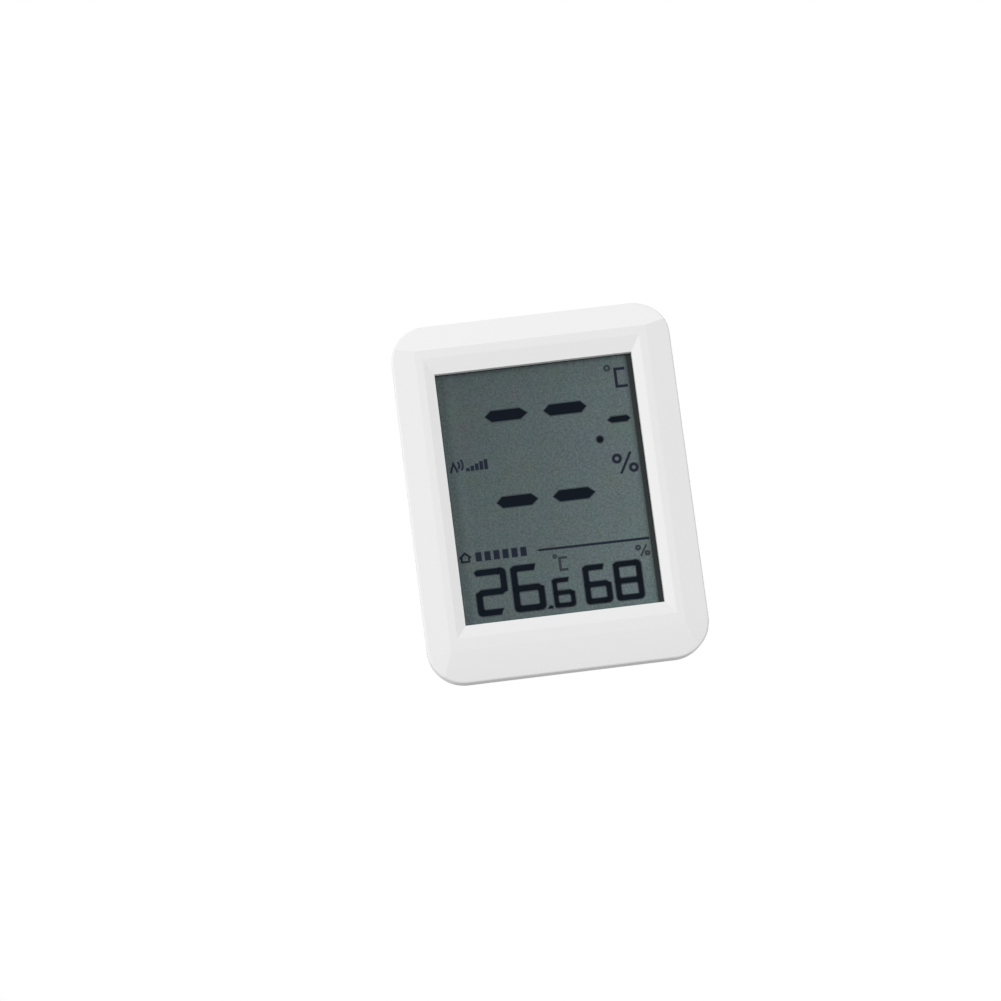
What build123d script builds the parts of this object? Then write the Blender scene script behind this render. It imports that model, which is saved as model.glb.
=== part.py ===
from build123d import *
from math import atan2, degrees, dist, sqrt
import os

# Indoor display unit of a wireless temperature and humidity sensor, in millimetres.
# X runs to the right as seen from the front, Y from the face to the back, Z up.
# The origin is under the middle of the case, on the surface that it stands on.
# A depth is a distance behind the foremost plane of the face.

# Whole case
body_width = 61.0
body_height = 78.8
corner_radius = 8.0

# Front frame, from the face to the parting line
frame_depth = 5.6
frame_wall = 1.8
rim_radius = 0.4
side_facet = 5.15
side_drop = 0.6
top_facet = 5.8
top_drop = 2.7
bottom_facet = 7.0
bottom_drop = 0.3
side_ridge = body_width / 2 - side_facet
top_ridge = body_height - top_facet

# Display opening, with the slopes that lead down to it
side_margin = 8.9
bottom_margin = 12.3
top_margin = 11.25
side_slope = 2.1
bottom_slope = 2.7
top_slope = 3.55
slope_drop = 0.5
opening_width = body_width - 2 * side_margin
opening_low = bottom_margin
opening_high = body_height - top_margin

# Rear case, from the parting line to the back
case_step = 0.6
case_wall = 1.8
case_draft = 8.0
back_edge_radius = 2.0

# Display cell: glass, polarizer and reflector
glass_cover = 1.8
ledge_height = 2.7
ledge_cover = 0.35
glass_thickness = 0.7
glass_width = opening_width + 2 * glass_cover
glass_low = opening_low - ledge_cover - ledge_height
glass_high = opening_high + glass_cover
mask_depth = 2.25
mask_thickness = 0.3
polarizer_thickness = 0.2
reflector_thickness = 0.25

# Circuit board
board_depth = 6.0
board_thickness = 1.0
board_side_inset = 3.0
board_end_inset = 2.9
board_notch_gap = 0.5
board_width = body_width - 2 * board_side_inset

# Two AAA cells, lying across the case
cell_diameter = 10.4
cell_length = 44.5
cell_gap = 0.8
cell_pitch = cell_diameter + cell_gap
bay_offset = 3.2
cell_middle = body_height / 2 + bay_offset
nub_diameter = 3.8
nub_length = 1.0
bay_floor_depth = 8.3
bay_floor_thickness = 1.0
bay_wall = 1.2
bay_side_gap = 0.5
contact_thickness = 0.4
spring_length = 3.7
dimple_height = 0.6

# Clearances
fit_gap = 0.15
door_gap = 0.2
thread_gap = 0.02
pin_gap = 0.06
leg_gap = 0.4
overrun = 1.0

# Depth of the whole case: the bay's floor, a cell and the door over it
door_thickness = 1.3
door_cell_gap = 0.25
body_depth = bay_floor_depth + fit_gap + cell_diameter + door_cell_gap + door_thickness


def deep(depth):
    """The Y coordinate of a depth behind the face."""
    return depth - body_depth / 2


def plane_at(depth):
    """A plane parallel to the face. Its normal points forward, so solids grow to the back
    by a negative amount."""
    return Plane.XZ.offset(-deep(depth))


def panel(width, low, high, radius=0.0, mode=Mode.ADD):
    """A rectangle across the middle of the case between two heights, rounded where a radius is given."""
    with Locations((0, (low + high) / 2)):
        if radius:
            RectangleRounded(width, high - low, radius, mode=mode)
        else:
            Rectangle(width, high - low, mode=mode)


def mirrored_places(x, *heights):
    """Places on both sides of the middle plane, at each height."""
    return [(side * x, height) for height in heights for side in (-1, 1)]


def finish(piece, label):
    """Names a piece and writes it."""
    piece.part.label = label
    export_step(piece.part, f"parts/{label}.step")


os.makedirs("parts", exist_ok=True)

# Fastenings that the frame, the board and the case share
case_screw_side = 7.9
case_screw_x = body_width / 2 - case_screw_side
case_screw_inset = 6.0
case_screw_places = mirrored_places(case_screw_x, case_screw_inset, body_height - case_screw_inset)
case_screw_diameter = 2.2
case_boss_diameter = 4.4
board_screw_x = 14.0
board_screw_inset = 5.2
board_screw_places = mirrored_places(board_screw_x, board_screw_inset, body_height - board_screw_inset)
board_screw_diameter = 1.9
board_boss_diameter = 4.0
cavity_depth = 3.2

# Front frame: a moulded rim with a flat ring, four outer facets and four slopes down to the opening.
# The steep top facet meets the shallow side facets almost level, which gives the face its look.
facet_past_share = 1.3
upright_limit = 0.01
case_pilot_depth = 2.5


def facet_wedge(ridge, rim, drop):
    """What a facet takes off: from its ridge on the flat to past the rim, where it lies drop deep."""
    run = (rim - ridge) * facet_past_share
    fall = drop * facet_past_share
    Polygon((ridge, 0), (ridge + run, fall), (ridge + run, -overrun), (ridge, -overrun), align=None)


across_face = Plane(origin=(0, deep(0), 0), x_dir=(1, 0, 0), z_dir=(0, 0, 1))
up_face = Plane(origin=(0, deep(0), 0), x_dir=(0, 0, 1), z_dir=(-1, 0, 0))

with BuildPart() as front_frame:
    with BuildSketch(plane_at(0)):
        panel(body_width, 0, body_height, corner_radius)
    extrude(amount=-frame_depth)
    with BuildSketch(across_face):
        for side in (-1, 1):
            facet_wedge(side * side_ridge, side * body_width / 2, side_drop)
    extrude(amount=body_height, mode=Mode.SUBTRACT)
    with BuildSketch(up_face):
        facet_wedge(top_ridge, body_height, top_drop)
        facet_wedge(bottom_facet, 0, bottom_drop)
    extrude(amount=body_width, both=True, mode=Mode.SUBTRACT)
    walls = front_frame.faces().filter_by(lambda face: abs(face.normal_at().Y) < upright_limit)
    rim_limit = deep(frame_depth - rim_radius)
    rim = walls.edges().filter_by(Axis.Y, reverse=True).filter_by(lambda edge: edge.center().Y < rim_limit)
    fillet(rim, rim_radius)
    with BuildSketch(plane_at(0)):
        panel(opening_width + 2 * side_slope, opening_low - bottom_slope, opening_high + top_slope)
    with BuildSketch(plane_at(slope_drop)):
        panel(opening_width, opening_low, opening_high)
    loft(ruled=True, mode=Mode.SUBTRACT)
    with BuildSketch(plane_at(0)):
        panel(opening_width, opening_low, opening_high)
    extrude(amount=-frame_depth, mode=Mode.SUBTRACT)
    with BuildSketch(plane_at(mask_depth)):
        panel(glass_width + 2 * fit_gap, glass_low - fit_gap, glass_high + fit_gap)
    extrude(amount=-frame_depth, mode=Mode.SUBTRACT)
    with BuildSketch(plane_at(cavity_depth)):
        panel(body_width - 2 * frame_wall, frame_wall, body_height - frame_wall, corner_radius - frame_wall)
    extrude(amount=-frame_depth, mode=Mode.SUBTRACT)
    with BuildSketch(plane_at(cavity_depth)):
        with Locations(*case_screw_places):
            Circle(case_boss_diameter / 2)
    extrude(amount=cavity_depth - frame_depth)
    with BuildSketch(plane_at(cavity_depth)):
        with Locations(*board_screw_places):
            Circle(board_boss_diameter / 2)
    extrude(amount=cavity_depth - board_depth)
    with BuildSketch(plane_at(case_pilot_depth)):
        with Locations(*case_screw_places):
            Circle(case_screw_diameter / 2 + thread_gap)
    extrude(amount=-frame_depth, mode=Mode.SUBTRACT)
    with BuildSketch(plane_at(cavity_depth)):
        with Locations(*board_screw_places):
            Circle(board_screw_diameter / 2 + thread_gap)
    extrude(amount=-frame_depth, mode=Mode.SUBTRACT)
finish(front_frame, "front_frame")

# Rear case: a drafted shell with the battery bay, the stand's tray, the keyhole and the button holes.
lip_length = 0.9
lip_thickness = 0.8
lip_gap = 0.1
back_depth = body_depth - case_wall
boss_step_depth = 9.6
boss_gap = 0.05
counterbore_diameter = 4.4
counterbore_wall = 1.2

bay_width = 2 * contact_thickness + spring_length + cell_length + dimple_height
bay_height = cell_pitch + cell_diameter + 2 * bay_side_gap
bay_low = cell_middle - bay_height / 2
bay_high = cell_middle + bay_height / 2

door_ledge = 1.7
door_side_ledge = 0.8
door_recess_width = bay_width + 2 * door_side_ledge
door_recess_low = bay_low - door_ledge
door_recess_high = bay_high + door_ledge
door_corner = 2.0
door_face_depth = body_depth - door_thickness
collar_thickness = 1.5
collar_margin = 1.0
tongue_inset = 4.1
tongue_x = door_recess_width / 2 - tongue_inset
tongue_width = 4.0
tongue_thickness = 0.7
tongue_reach = 1.4
tongue_root = 1.1
tongue_window_depth = 2.6
tongue_window_rise = 2.4
latch_width = 8.0
latch_reach = 1.4
latch_slot = 1.0
latch_slot_length = 6.0

stand_width = 34.6
stand_low = 4.6
stand_clear = 2.0
stand_high = door_recess_low - stand_clear
stand_recess_cut = 2.7
stand_recess_depth = body_depth - stand_recess_cut
stand_corner = 2.5
tray_wall = 2.1
tray_floor = 1.2
hinge_inset = 1.6
hinge_height = stand_high - hinge_inset
hinge_sink = 1.2
hinge_depth = body_depth - hinge_sink
stand_pin_diameter = 1.4
stand_pin_length = 1.1
scoop_radius = 3.0
scoop_width = 15.0

keyhole_diameter = 7.0
keyhole_inset = 11.4
keyhole_height = body_height - keyhole_inset
keyhole_slot_width = 3.6
keyhole_rise = 4.0
pocket_cut = 6.0
pocket_floor_depth = body_depth - pocket_cut
pocket_wall = 0.9

button_clear = 4.85
button_height = door_recess_high + button_clear
button_spacing = 15.0
button_width = 9.0
button_rise = 3.4
button_places = [(place * button_spacing, button_height) for place in (-1, 0, 1)]

vent_length = 5.0
vent_height = 1.1
vent_pitch = 2.6
vent_count = 5
vent_inset = 7.9
vent_x = body_width / 2 - vent_inset
vent_middle = 17.6

inner_low = case_step + case_wall
wall_corner = corner_radius - case_step - case_wall


def boxed(width, low, high, near, far, mode=Mode.ADD):
    """A block across the middle of the case, between two depths."""
    with Locations((0, deep((near + far) / 2), (low + high) / 2)):
        Box(width, far - near, high - low, mode=mode)


def bay_contact_slots():
    """The slots in the bay's floor that the contacts' tails pass through."""
    for side in (-1, 1):
        x = side * (bay_width / 2 - tail_slot_thickness / 2)
        with Locations((x, cell_middle - cell_pitch / 2), (x, cell_middle + cell_pitch / 2)):
            Rectangle(tail_slot_thickness, tail_slot_width)


tail_width = 2.0
tail_slot_width = tail_width + 2 * fit_gap
tail_slot_thickness = contact_thickness + fit_gap

with BuildPart() as rear_case:
    with BuildSketch(plane_at(frame_depth)):
        panel(body_width - 2 * case_step, case_step, body_height - case_step, corner_radius - case_step)
    extrude(amount=frame_depth - body_depth, taper=case_draft)
    fillet(rear_case.faces().sort_by(Axis.Y)[-1].edges(), back_edge_radius)
    with BuildSketch(plane_at(frame_depth)):
        panel(body_width - 2 * inner_low, inner_low, body_height - inner_low, wall_corner)
    extrude(amount=frame_depth - back_depth, taper=case_draft, mode=Mode.SUBTRACT)
    lip_inset = frame_wall + lip_gap
    with BuildSketch(plane_at(frame_depth - lip_length)):
        panel(body_width - 2 * lip_inset, lip_inset, body_height - lip_inset, corner_radius - lip_inset)
        offset(amount=-lip_thickness, mode=Mode.SUBTRACT)
    extrude(amount=-lip_length)
    bay_outer_width = bay_width + 2 * bay_wall
    bay_shell_depth = bay_floor_depth - bay_floor_thickness
    boxed(bay_outer_width, bay_low - bay_wall, bay_high + bay_wall, bay_shell_depth, back_depth)
    collar_low = door_recess_low - collar_margin
    collar_high = door_recess_high + latch_reach + collar_margin
    boxed(bay_outer_width, collar_low, collar_high, door_face_depth - collar_thickness, back_depth)
    tray_width = stand_width + 2 * tray_wall
    tray_shell_depth = stand_recess_depth - tray_floor
    boxed(tray_width, stand_low - tray_floor, stand_high + tray_floor, tray_shell_depth, back_depth)
    with BuildSketch(plane_at(frame_depth + boss_gap)):
        with Locations(*case_screw_places):
            Circle(case_boss_diameter / 2)
    extrude(amount=frame_depth - back_depth)
    with BuildSketch(plane_at(boss_step_depth - counterbore_wall)):
        with Locations(*case_screw_places):
            Circle(counterbore_diameter / 2 + counterbore_wall)
    extrude(amount=boss_step_depth - counterbore_wall - back_depth)
    with BuildSketch(plane_at(pocket_floor_depth)):
        with Locations((0, keyhole_height + keyhole_rise / 2)):
            pocket_width = keyhole_diameter + 2 * (fit_gap + pocket_wall)
            Rectangle(pocket_width, pocket_width + keyhole_rise)
    extrude(amount=pocket_floor_depth - back_depth)
    boxed(bay_width, bay_low, bay_high, bay_floor_depth, body_depth, Mode.SUBTRACT)
    with BuildSketch(plane_at(door_face_depth)):
        panel(door_recess_width, door_recess_low, door_recess_high, door_corner)
        notch_high = door_recess_high + latch_reach + door_gap
        panel(latch_width + 2 * door_gap, door_recess_high - door_corner, notch_high)
    extrude(amount=-door_thickness, mode=Mode.SUBTRACT)
    with BuildSketch(plane_at(door_face_depth - tongue_window_depth)):
        window_low = door_recess_low - tongue_reach - door_gap
        window_high = door_recess_low + tongue_window_rise
        with Locations(*mirrored_places(tongue_x, (window_low + window_high) / 2)):
            Rectangle(tongue_width + 2 * door_gap, window_high - window_low)
    extrude(amount=-tongue_window_depth, mode=Mode.SUBTRACT)
    with BuildSketch(plane_at(stand_recess_depth)):
        panel(stand_width, stand_low, stand_high, stand_corner)
        panel(stand_width, hinge_height - stand_corner, stand_high)
    extrude(amount=stand_recess_depth - body_depth, mode=Mode.SUBTRACT)
    with BuildSketch(Plane.YZ):
        with Locations((deep(hinge_depth), hinge_height)):
            Circle(stand_pin_diameter / 2 + pin_gap)
    extrude(amount=stand_width / 2 + stand_pin_length, both=True, mode=Mode.SUBTRACT)
    with BuildSketch(Plane.YZ):
        with Locations((deep(body_depth + leg_gap), stand_low)):
            Circle(scoop_radius)
    extrude(amount=scoop_width / 2, both=True, mode=Mode.SUBTRACT)
    with BuildSketch(plane_at(boss_step_depth)):
        with Locations(*case_screw_places):
            Circle(counterbore_diameter / 2)
    extrude(amount=-body_depth, mode=Mode.SUBTRACT)
    with BuildSketch(plane_at(frame_depth)):
        with Locations(*case_screw_places):
            Circle(case_screw_diameter / 2 + fit_gap)
    extrude(amount=-body_depth, mode=Mode.SUBTRACT)
    with BuildSketch(plane_at(pocket_floor_depth + pocket_wall)):
        with Locations((0, keyhole_height + keyhole_rise / 2)):
            Rectangle(keyhole_diameter + 2 * fit_gap, keyhole_diameter + 2 * fit_gap + keyhole_rise)
    extrude(amount=pocket_floor_depth + pocket_wall - back_depth, mode=Mode.SUBTRACT)
    with BuildSketch(plane_at(back_depth)):
        with Locations((0, keyhole_height)):
            Circle(keyhole_diameter / 2)
        with Locations((0, keyhole_height + keyhole_rise / 2)):
            SlotCenterToCenter(keyhole_rise, keyhole_slot_width, rotation=90)
    extrude(amount=-case_wall, mode=Mode.SUBTRACT)
    with BuildSketch(plane_at(back_depth)):
        with Locations(*button_places):
            SlotOverall(button_width + 2 * fit_gap, button_rise + 2 * fit_gap)
    extrude(amount=-case_wall, mode=Mode.SUBTRACT)
    with BuildSketch(plane_at(back_depth)):
        for side in (-1, 1):
            with Locations((side * vent_x, vent_middle)):
                with GridLocations(vent_pitch, vent_pitch, 1, vent_count):
                    SlotOverall(vent_length, vent_height)
    extrude(amount=-case_wall, mode=Mode.SUBTRACT)
    with BuildSketch(plane_at(bay_floor_depth - bay_floor_thickness)):
        bay_contact_slots()
    extrude(amount=-bay_floor_thickness, mode=Mode.SUBTRACT)
finish(rear_case, "rear_case")

# Battery door: two tongues under the case's lip, a sprung latch tab and a rib between the cells.
door_rib_thickness = 1.0
door_rib_gap = 1.7
door_rib_inset = 5.0
door_rib_length = bay_width - 2 * door_rib_inset
cell_depth = bay_floor_depth + fit_gap + cell_diameter / 2
cell_side = cell_pitch / 2 - door_rib_thickness / 2
door_rib_depth = cell_depth + door_rib_gap + sqrt((cell_diameter / 2) ** 2 - cell_side**2)
grip_count = 3
grip_pitch = 1.6
grip_width = 0.7
grip_cut = 0.4
grip_length = 6.0
door_low = door_recess_low + door_gap
door_high = door_recess_high - door_gap

with BuildPart() as battery_door:
    with BuildSketch(plane_at(door_face_depth)):
        panel(door_recess_width - 2 * door_gap, door_low, door_high, door_corner - door_gap)
        panel(latch_width, door_high - door_corner, door_high + latch_reach)
        slot_middle = door_high - latch_slot_length / 2
        with Locations(*mirrored_places(latch_width / 2 + latch_slot / 2, slot_middle)):
            Rectangle(latch_slot, latch_slot_length, mode=Mode.SUBTRACT)
    extrude(amount=-door_thickness)
    with BuildSketch(plane_at(door_face_depth - tongue_thickness)):
        tongue_low = door_recess_low - tongue_reach + door_gap
        tongue_high = door_low + tongue_root
        with Locations(*mirrored_places(tongue_x, (tongue_low + tongue_high) / 2)):
            Rectangle(tongue_width, tongue_high - tongue_low)
    extrude(amount=-tongue_thickness)
    boxed(door_rib_length, cell_middle - door_rib_thickness / 2, cell_middle + door_rib_thickness / 2,
          door_rib_depth, door_face_depth)
    with BuildSketch(plane_at(body_depth - grip_cut)):
        with Locations((0, door_high - grip_pitch)):
            with GridLocations(grip_pitch, grip_pitch, 1, grip_count):
                SlotOverall(grip_length, grip_width)
    extrude(amount=-grip_cut, mode=Mode.SUBTRACT)
finish(battery_door, "battery_door")

# Fold-out stand: a leg on two stub pins, whose heel meets the tray's floor when it is open.
leg_thickness = 2.0
leg_heel = 1.0
leg_tip_gap = 0.6
leg_dish = 0.6
leg_dish_margin = 4.0
leg_width = stand_width - 2 * leg_gap
leg_low = stand_low + leg_tip_gap
leg_high = hinge_height + leg_heel
leg_near = hinge_depth - leg_thickness / 2

with BuildPart() as stand_leg:
    with BuildSketch(plane_at(leg_near)):
        panel(leg_width, leg_low, leg_high)
        fillet(vertices().group_by(Axis.Y)[0], stand_corner - leg_gap)
    extrude(amount=-leg_thickness)
    outer_heel = stand_leg.edges().filter_by(Axis.X).group_by(Axis.Z)[-1].sort_by(Axis.Y)[-1]
    fillet(outer_heel, leg_heel - pin_gap)
    with BuildSketch(Plane.YZ):
        with Locations((deep(hinge_depth), hinge_height)):
            Circle(stand_pin_diameter / 2)
    extrude(amount=stand_width / 2 + stand_pin_length - leg_gap, both=True)
    with BuildSketch(plane_at(leg_near)):
        panel(leg_width - 2 * leg_dish_margin, leg_low + leg_dish_margin, leg_high - leg_dish_margin, leg_gap)
    extrude(amount=-leg_dish, mode=Mode.SUBTRACT)
finish(stand_leg, "stand_leg")

# Screws: four through the rear case into the frame, four through the board into the frame.
case_head_diameter = 4.0
case_head_height = 1.6
board_head_diameter = 4.0
board_head_height = 1.3


def pan_screws(places, seat, tip, shank_diameter, head_diameter, head_height):
    """Pan-head screws driven from the back. Their heads seat at one depth and their tips reach another."""
    with BuildPart() as screws:
        with BuildSketch(plane_at(tip)):
            with Locations(*places):
                Circle(shank_diameter / 2)
        extrude(amount=tip - seat)
        with BuildSketch(plane_at(seat)):
            with Locations(*places):
                Circle(head_diameter / 2)
        extrude(amount=-head_height)
    return screws


case_screws = pan_screws(case_screw_places, boss_step_depth, case_pilot_depth + fit_gap,
                         case_screw_diameter, case_head_diameter, case_head_height)
finish(case_screws, "case_screws")
board_screws = pan_screws(board_screw_places, board_depth + board_thickness, cavity_depth + fit_gap,
                          board_screw_diameter, board_head_diameter, board_head_height)
finish(board_screws, "board_screws")

# Display: a black mask, two glasses with the liquid between them, a polarizer and a reflector.
mask_bar = 1.15
mask_line = 0.12
glass_depth = mask_depth + mask_thickness + polarizer_thickness
rear_glass_low = glass_low + ledge_height
reflector_depth = glass_depth + 2 * glass_thickness

with BuildPart() as display_mask:
    with BuildSketch(plane_at(mask_depth)):
        panel(glass_width, glass_low, glass_high)
        window_width = opening_width - mask_bar
        window_low = opening_low + mask_line
        window_high = opening_high - mask_line
        with Locations((-mask_bar / 2, (window_low + window_high) / 2)):
            Rectangle(window_width, window_high - window_low, mode=Mode.SUBTRACT)
    extrude(amount=-mask_thickness)
finish(display_mask, "display_mask")


def layer(label, width, low, high, depth, thickness):
    """One flat layer of the display."""
    with BuildPart() as sheet:
        with BuildSketch(plane_at(depth)):
            panel(width, low, high)
        extrude(amount=-thickness)
    finish(sheet, label)


polarizer_depth = mask_depth + mask_thickness
layer("lcd_front_polarizer", glass_width, glass_low, glass_high, polarizer_depth, polarizer_thickness)
layer("lcd_front_glass", glass_width, glass_low, glass_high, glass_depth, glass_thickness)
rear_glass_depth = glass_depth + glass_thickness
layer("lcd_rear_glass", glass_width, rear_glass_low, glass_high, rear_glass_depth, glass_thickness)
layer("lcd_reflector", glass_width, rear_glass_low, glass_high, reflector_depth, reflector_thickness)

# Display holder: a black tray that presses the glass forward and guides the rubber connector.
holder_depth = reflector_depth + reflector_thickness
holder_floor = 1.0
holder_wall = 0.8
holder_front = cavity_depth + lip_gap
zebra_thickness = 2.0
zebra_inset = 2.4
zebra_width = glass_width - 2 * zebra_inset
zebra_low = glass_low + fit_gap
zebra_depth = glass_depth + glass_thickness
holder_side_bar = 5.4
holder_window_width = glass_width - 2 * holder_side_bar
holder_window_margin = 5.0
holder_bar = 4.0

with BuildPart() as lcd_holder:
    outer_margin = fit_gap + holder_wall
    with BuildSketch(plane_at(holder_front)):
        panel(glass_width + 2 * outer_margin, glass_low - outer_margin, glass_high + outer_margin)
        panel(glass_width + 2 * fit_gap, glass_low - fit_gap, glass_high + fit_gap, mode=Mode.SUBTRACT)
    extrude(amount=holder_front - board_depth)
    with BuildSketch(plane_at(holder_depth)):
        panel(glass_width + 2 * fit_gap, glass_low - fit_gap, glass_high + fit_gap)
        window_low = rear_glass_low + holder_window_margin
        window_high = glass_high - holder_window_margin
        window_height = (window_high - window_low - holder_bar) / 2
        with Locations((0, (window_low + window_high) / 2)):
            with GridLocations(holder_window_width, window_height + holder_bar, 1, 2):
                Rectangle(holder_window_width, window_height, mode=Mode.SUBTRACT)
        zebra_high = zebra_low + zebra_thickness
        panel(zebra_width + 2 * fit_gap, zebra_low - fit_gap, zebra_high + fit_gap, mode=Mode.SUBTRACT)
    extrude(amount=-holder_floor)
finish(lcd_holder, "lcd_holder")

with BuildPart() as zebra_strip:
    boxed(zebra_width, zebra_low, zebra_low + zebra_thickness, zebra_depth, board_depth)
finish(zebra_strip, "zebra_strip")

# Main board, screwed to the frame's bosses, with a notch at each corner for the case's screws.
board_corner = 1.0
notch_inset = case_screw_inset + case_boss_diameter / 2 + board_notch_gap
tab_width = 2 * (case_screw_x - case_boss_diameter / 2 - board_notch_gap)
board_back = board_depth + board_thickness

with BuildPart() as main_board:
    with BuildSketch(plane_at(board_depth)):
        panel(board_width, notch_inset, body_height - notch_inset)
        panel(tab_width, board_end_inset, body_height - board_end_inset)
        with Locations(*board_screw_places):
            Circle(board_screw_diameter / 2 + fit_gap, mode=Mode.SUBTRACT)
    extrude(amount=-board_thickness)
    corners = main_board.edges().filter_by(Axis.Y).filter_by(GeomType.LINE)
    fillet(corners.filter_by(lambda edge: abs(edge.center().X) > tab_width / 2 + fit_gap), board_corner)
finish(main_board, "main_board")

# Controller under its resin blob, crystal, filter capacitor and chip resistors.
blob_place = (-2.0, 20.0)
blob_radius = 4.6
blob_height = 1.3
crystal_radius = 1.0
crystal_length = 6.0
crystal_place = (-10.5, 24.0)
capacitor_radius = 2.5
capacitor_height = 7.0
capacitor_place = (-12.0, 13.5)
chip_length = 1.6
chip_width = 0.8
chip_height = 0.5
chip_pitch = 2.2
chip_count = 8
chip_row = 28.0

with BuildPart() as controller_blob:
    dome_radius = (blob_radius**2 + blob_height**2) / (2 * blob_height)
    with Locations((blob_place[0], deep(board_back + blob_height - dome_radius), blob_place[1])):
        Sphere(dome_radius)
    split(bisect_by=plane_at(board_back), keep=Keep.BOTTOM)
finish(controller_blob, "controller_blob")

with BuildPart() as crystal_can:
    with BuildSketch(Plane.XY.offset(crystal_place[1] - crystal_length / 2)):
        with Locations((crystal_place[0], deep(board_back + crystal_radius))):
            Circle(crystal_radius)
    extrude(amount=crystal_length)
finish(crystal_can, "crystal_can")

with BuildPart() as filter_capacitor:
    with BuildSketch(plane_at(board_back)):
        with Locations(capacitor_place):
            Circle(capacitor_radius)
    extrude(amount=-capacitor_height)
finish(filter_capacitor, "filter_capacitor")

with BuildPart() as chip_resistors:
    with Locations((0, deep(board_back + chip_height / 2), chip_row)):
        with GridLocations(chip_pitch, chip_pitch, chip_count, 1):
            Box(chip_length, chip_height, chip_width)
finish(chip_resistors, "chip_resistors")

# Radio receiver for the outdoor sensor: a small board on four pins, with a quarter-wave wire antenna.
receiver_width = 14.0
receiver_height = 9.0
receiver_thickness = 0.8
receiver_standoff = 2.0
receiver_inset = 15.5
receiver_drop = 9.3
receiver_place = (body_width / 2 - receiver_inset, bay_low - receiver_drop)
receiver_pin_width = 0.6
receiver_pin_pitch = 2.54
receiver_pin_count = 4
antenna_diameter = 1.0
wire_sides = 5
antenna_inset = 3.65
antenna_top_inset = 12.0
antenna_high = body_height - antenna_top_inset
antenna_end = -8.0
antenna_first_bend = 3.5
antenna_second_bend = 5.0


with BuildPart() as receiver_board:
    with BuildSketch(plane_at(board_back + receiver_standoff)):
        with Locations(receiver_place):
            Rectangle(receiver_width, receiver_height)
    extrude(amount=-receiver_thickness)
finish(receiver_board, "receiver_board")

with BuildPart() as receiver_pins:
    with Locations((receiver_place[0], deep(board_back + receiver_standoff / 2), receiver_place[1])):
        with Locations((0, 0, receiver_pin_width - receiver_height / 2)):
            with GridLocations(receiver_pin_pitch, receiver_pin_pitch, receiver_pin_count, 1):
                Box(receiver_pin_width, receiver_standoff, receiver_pin_width)
finish(receiver_pins, "receiver_pins")

antenna_y = deep(board_back + receiver_standoff + receiver_thickness / 2)
antenna_x = body_width / 2 - antenna_inset
receiver_edge = receiver_place[0] + receiver_width / 2
with BuildPart() as antenna_wire:
    with BuildLine() as antenna_path:
        FilletPolyline(
            (receiver_edge, antenna_y, receiver_place[1]),
            (antenna_x, antenna_y, receiver_place[1]),
            (antenna_x, antenna_y, antenna_high),
            (antenna_end, antenna_y, antenna_high),
            radius=(antenna_first_bend, antenna_second_bend),
        )
    with BuildSketch(Plane.YZ.offset(receiver_edge)):
        with Locations((antenna_y, receiver_place[1])):
            RegularPolygon(antenna_diameter / 2, wire_sides)
    sweep(path=antenna_path.line)
print("antenna wire", round(sum(edge.length for edge in antenna_path.edges()), 1))
finish(antenna_wire, "antenna_wire")

# Sensors behind the side vents: a slotted humidity cell and a bead thermistor on two leads.
humidity_width = 5.0
humidity_height = 10.0
humidity_thickness = 2.8
humidity_place = (-vent_x, vent_middle)
humidity_slot_length = 3.4
humidity_slot_width = 0.9
humidity_slot_pitch = 1.8
humidity_slot_count = 4
humidity_slot_cut = 0.8
bead_radius = 1.2
bead_depth = 11.0
bead_inset = 5.9
bead_place = (body_width / 2 - bead_inset, vent_middle)
lead_width = 0.5
lead_spacing = 1.3

with BuildPart() as humidity_sensor:
    with BuildSketch(plane_at(board_back)):
        with Locations(humidity_place):
            Rectangle(humidity_width, humidity_height)
    extrude(amount=-humidity_thickness)
    with BuildSketch(plane_at(board_back + humidity_thickness - humidity_slot_cut)):
        with Locations(humidity_place):
            with GridLocations(humidity_slot_pitch, humidity_slot_pitch, 1, humidity_slot_count):
                Rectangle(humidity_slot_length, humidity_slot_width)
    extrude(amount=-humidity_slot_cut, mode=Mode.SUBTRACT)
finish(humidity_sensor, "humidity_sensor")

with BuildPart() as thermistor:
    with BuildSketch(plane_at(bead_depth - bead_radius)):
        with Locations(bead_place):
            Circle(bead_radius)
    extrude(amount=-2 * bead_radius)
    chamfer(thermistor.edges(), bead_radius / 2)
    with BuildSketch(plane_at(board_back)):
        with Locations(bead_place):
            with GridLocations(lead_spacing, lead_spacing, 1, 2):
                Rectangle(lead_width, lead_width)
    extrude(amount=board_back + bead_radius / 2 - bead_depth)
finish(thermistor, "thermistor")

# Buttons: a cap in each hole of the back, with a stem that rests on its switch's plunger.
cap_recess = 0.3
cap_flange = 0.5
cap_flange_height = 0.6
cap_travel = 0.6
cap_edge = 0.3
stem_diameter = 3.0
switch_size = 6.0
switch_height = 3.6
plunger_diameter = 3.4
plunger_rise = 1.45
plunger_sink = 0.6
switch_top = board_back + switch_height
plunger_top = switch_top + plunger_rise
flange_top = back_depth - fit_gap

with BuildPart() as tact_switches:
    with BuildSketch(plane_at(board_back)):
        with Locations(*button_places):
            Rectangle(switch_size, switch_size)
    extrude(amount=-switch_height)
    with BuildSketch(plane_at(switch_top - plunger_sink - cap_travel - fit_gap)):
        with Locations(*button_places):
            Circle(plunger_diameter / 2 + pin_gap)
    extrude(amount=-switch_height, mode=Mode.SUBTRACT)
finish(tact_switches, "tact_switches")

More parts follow.
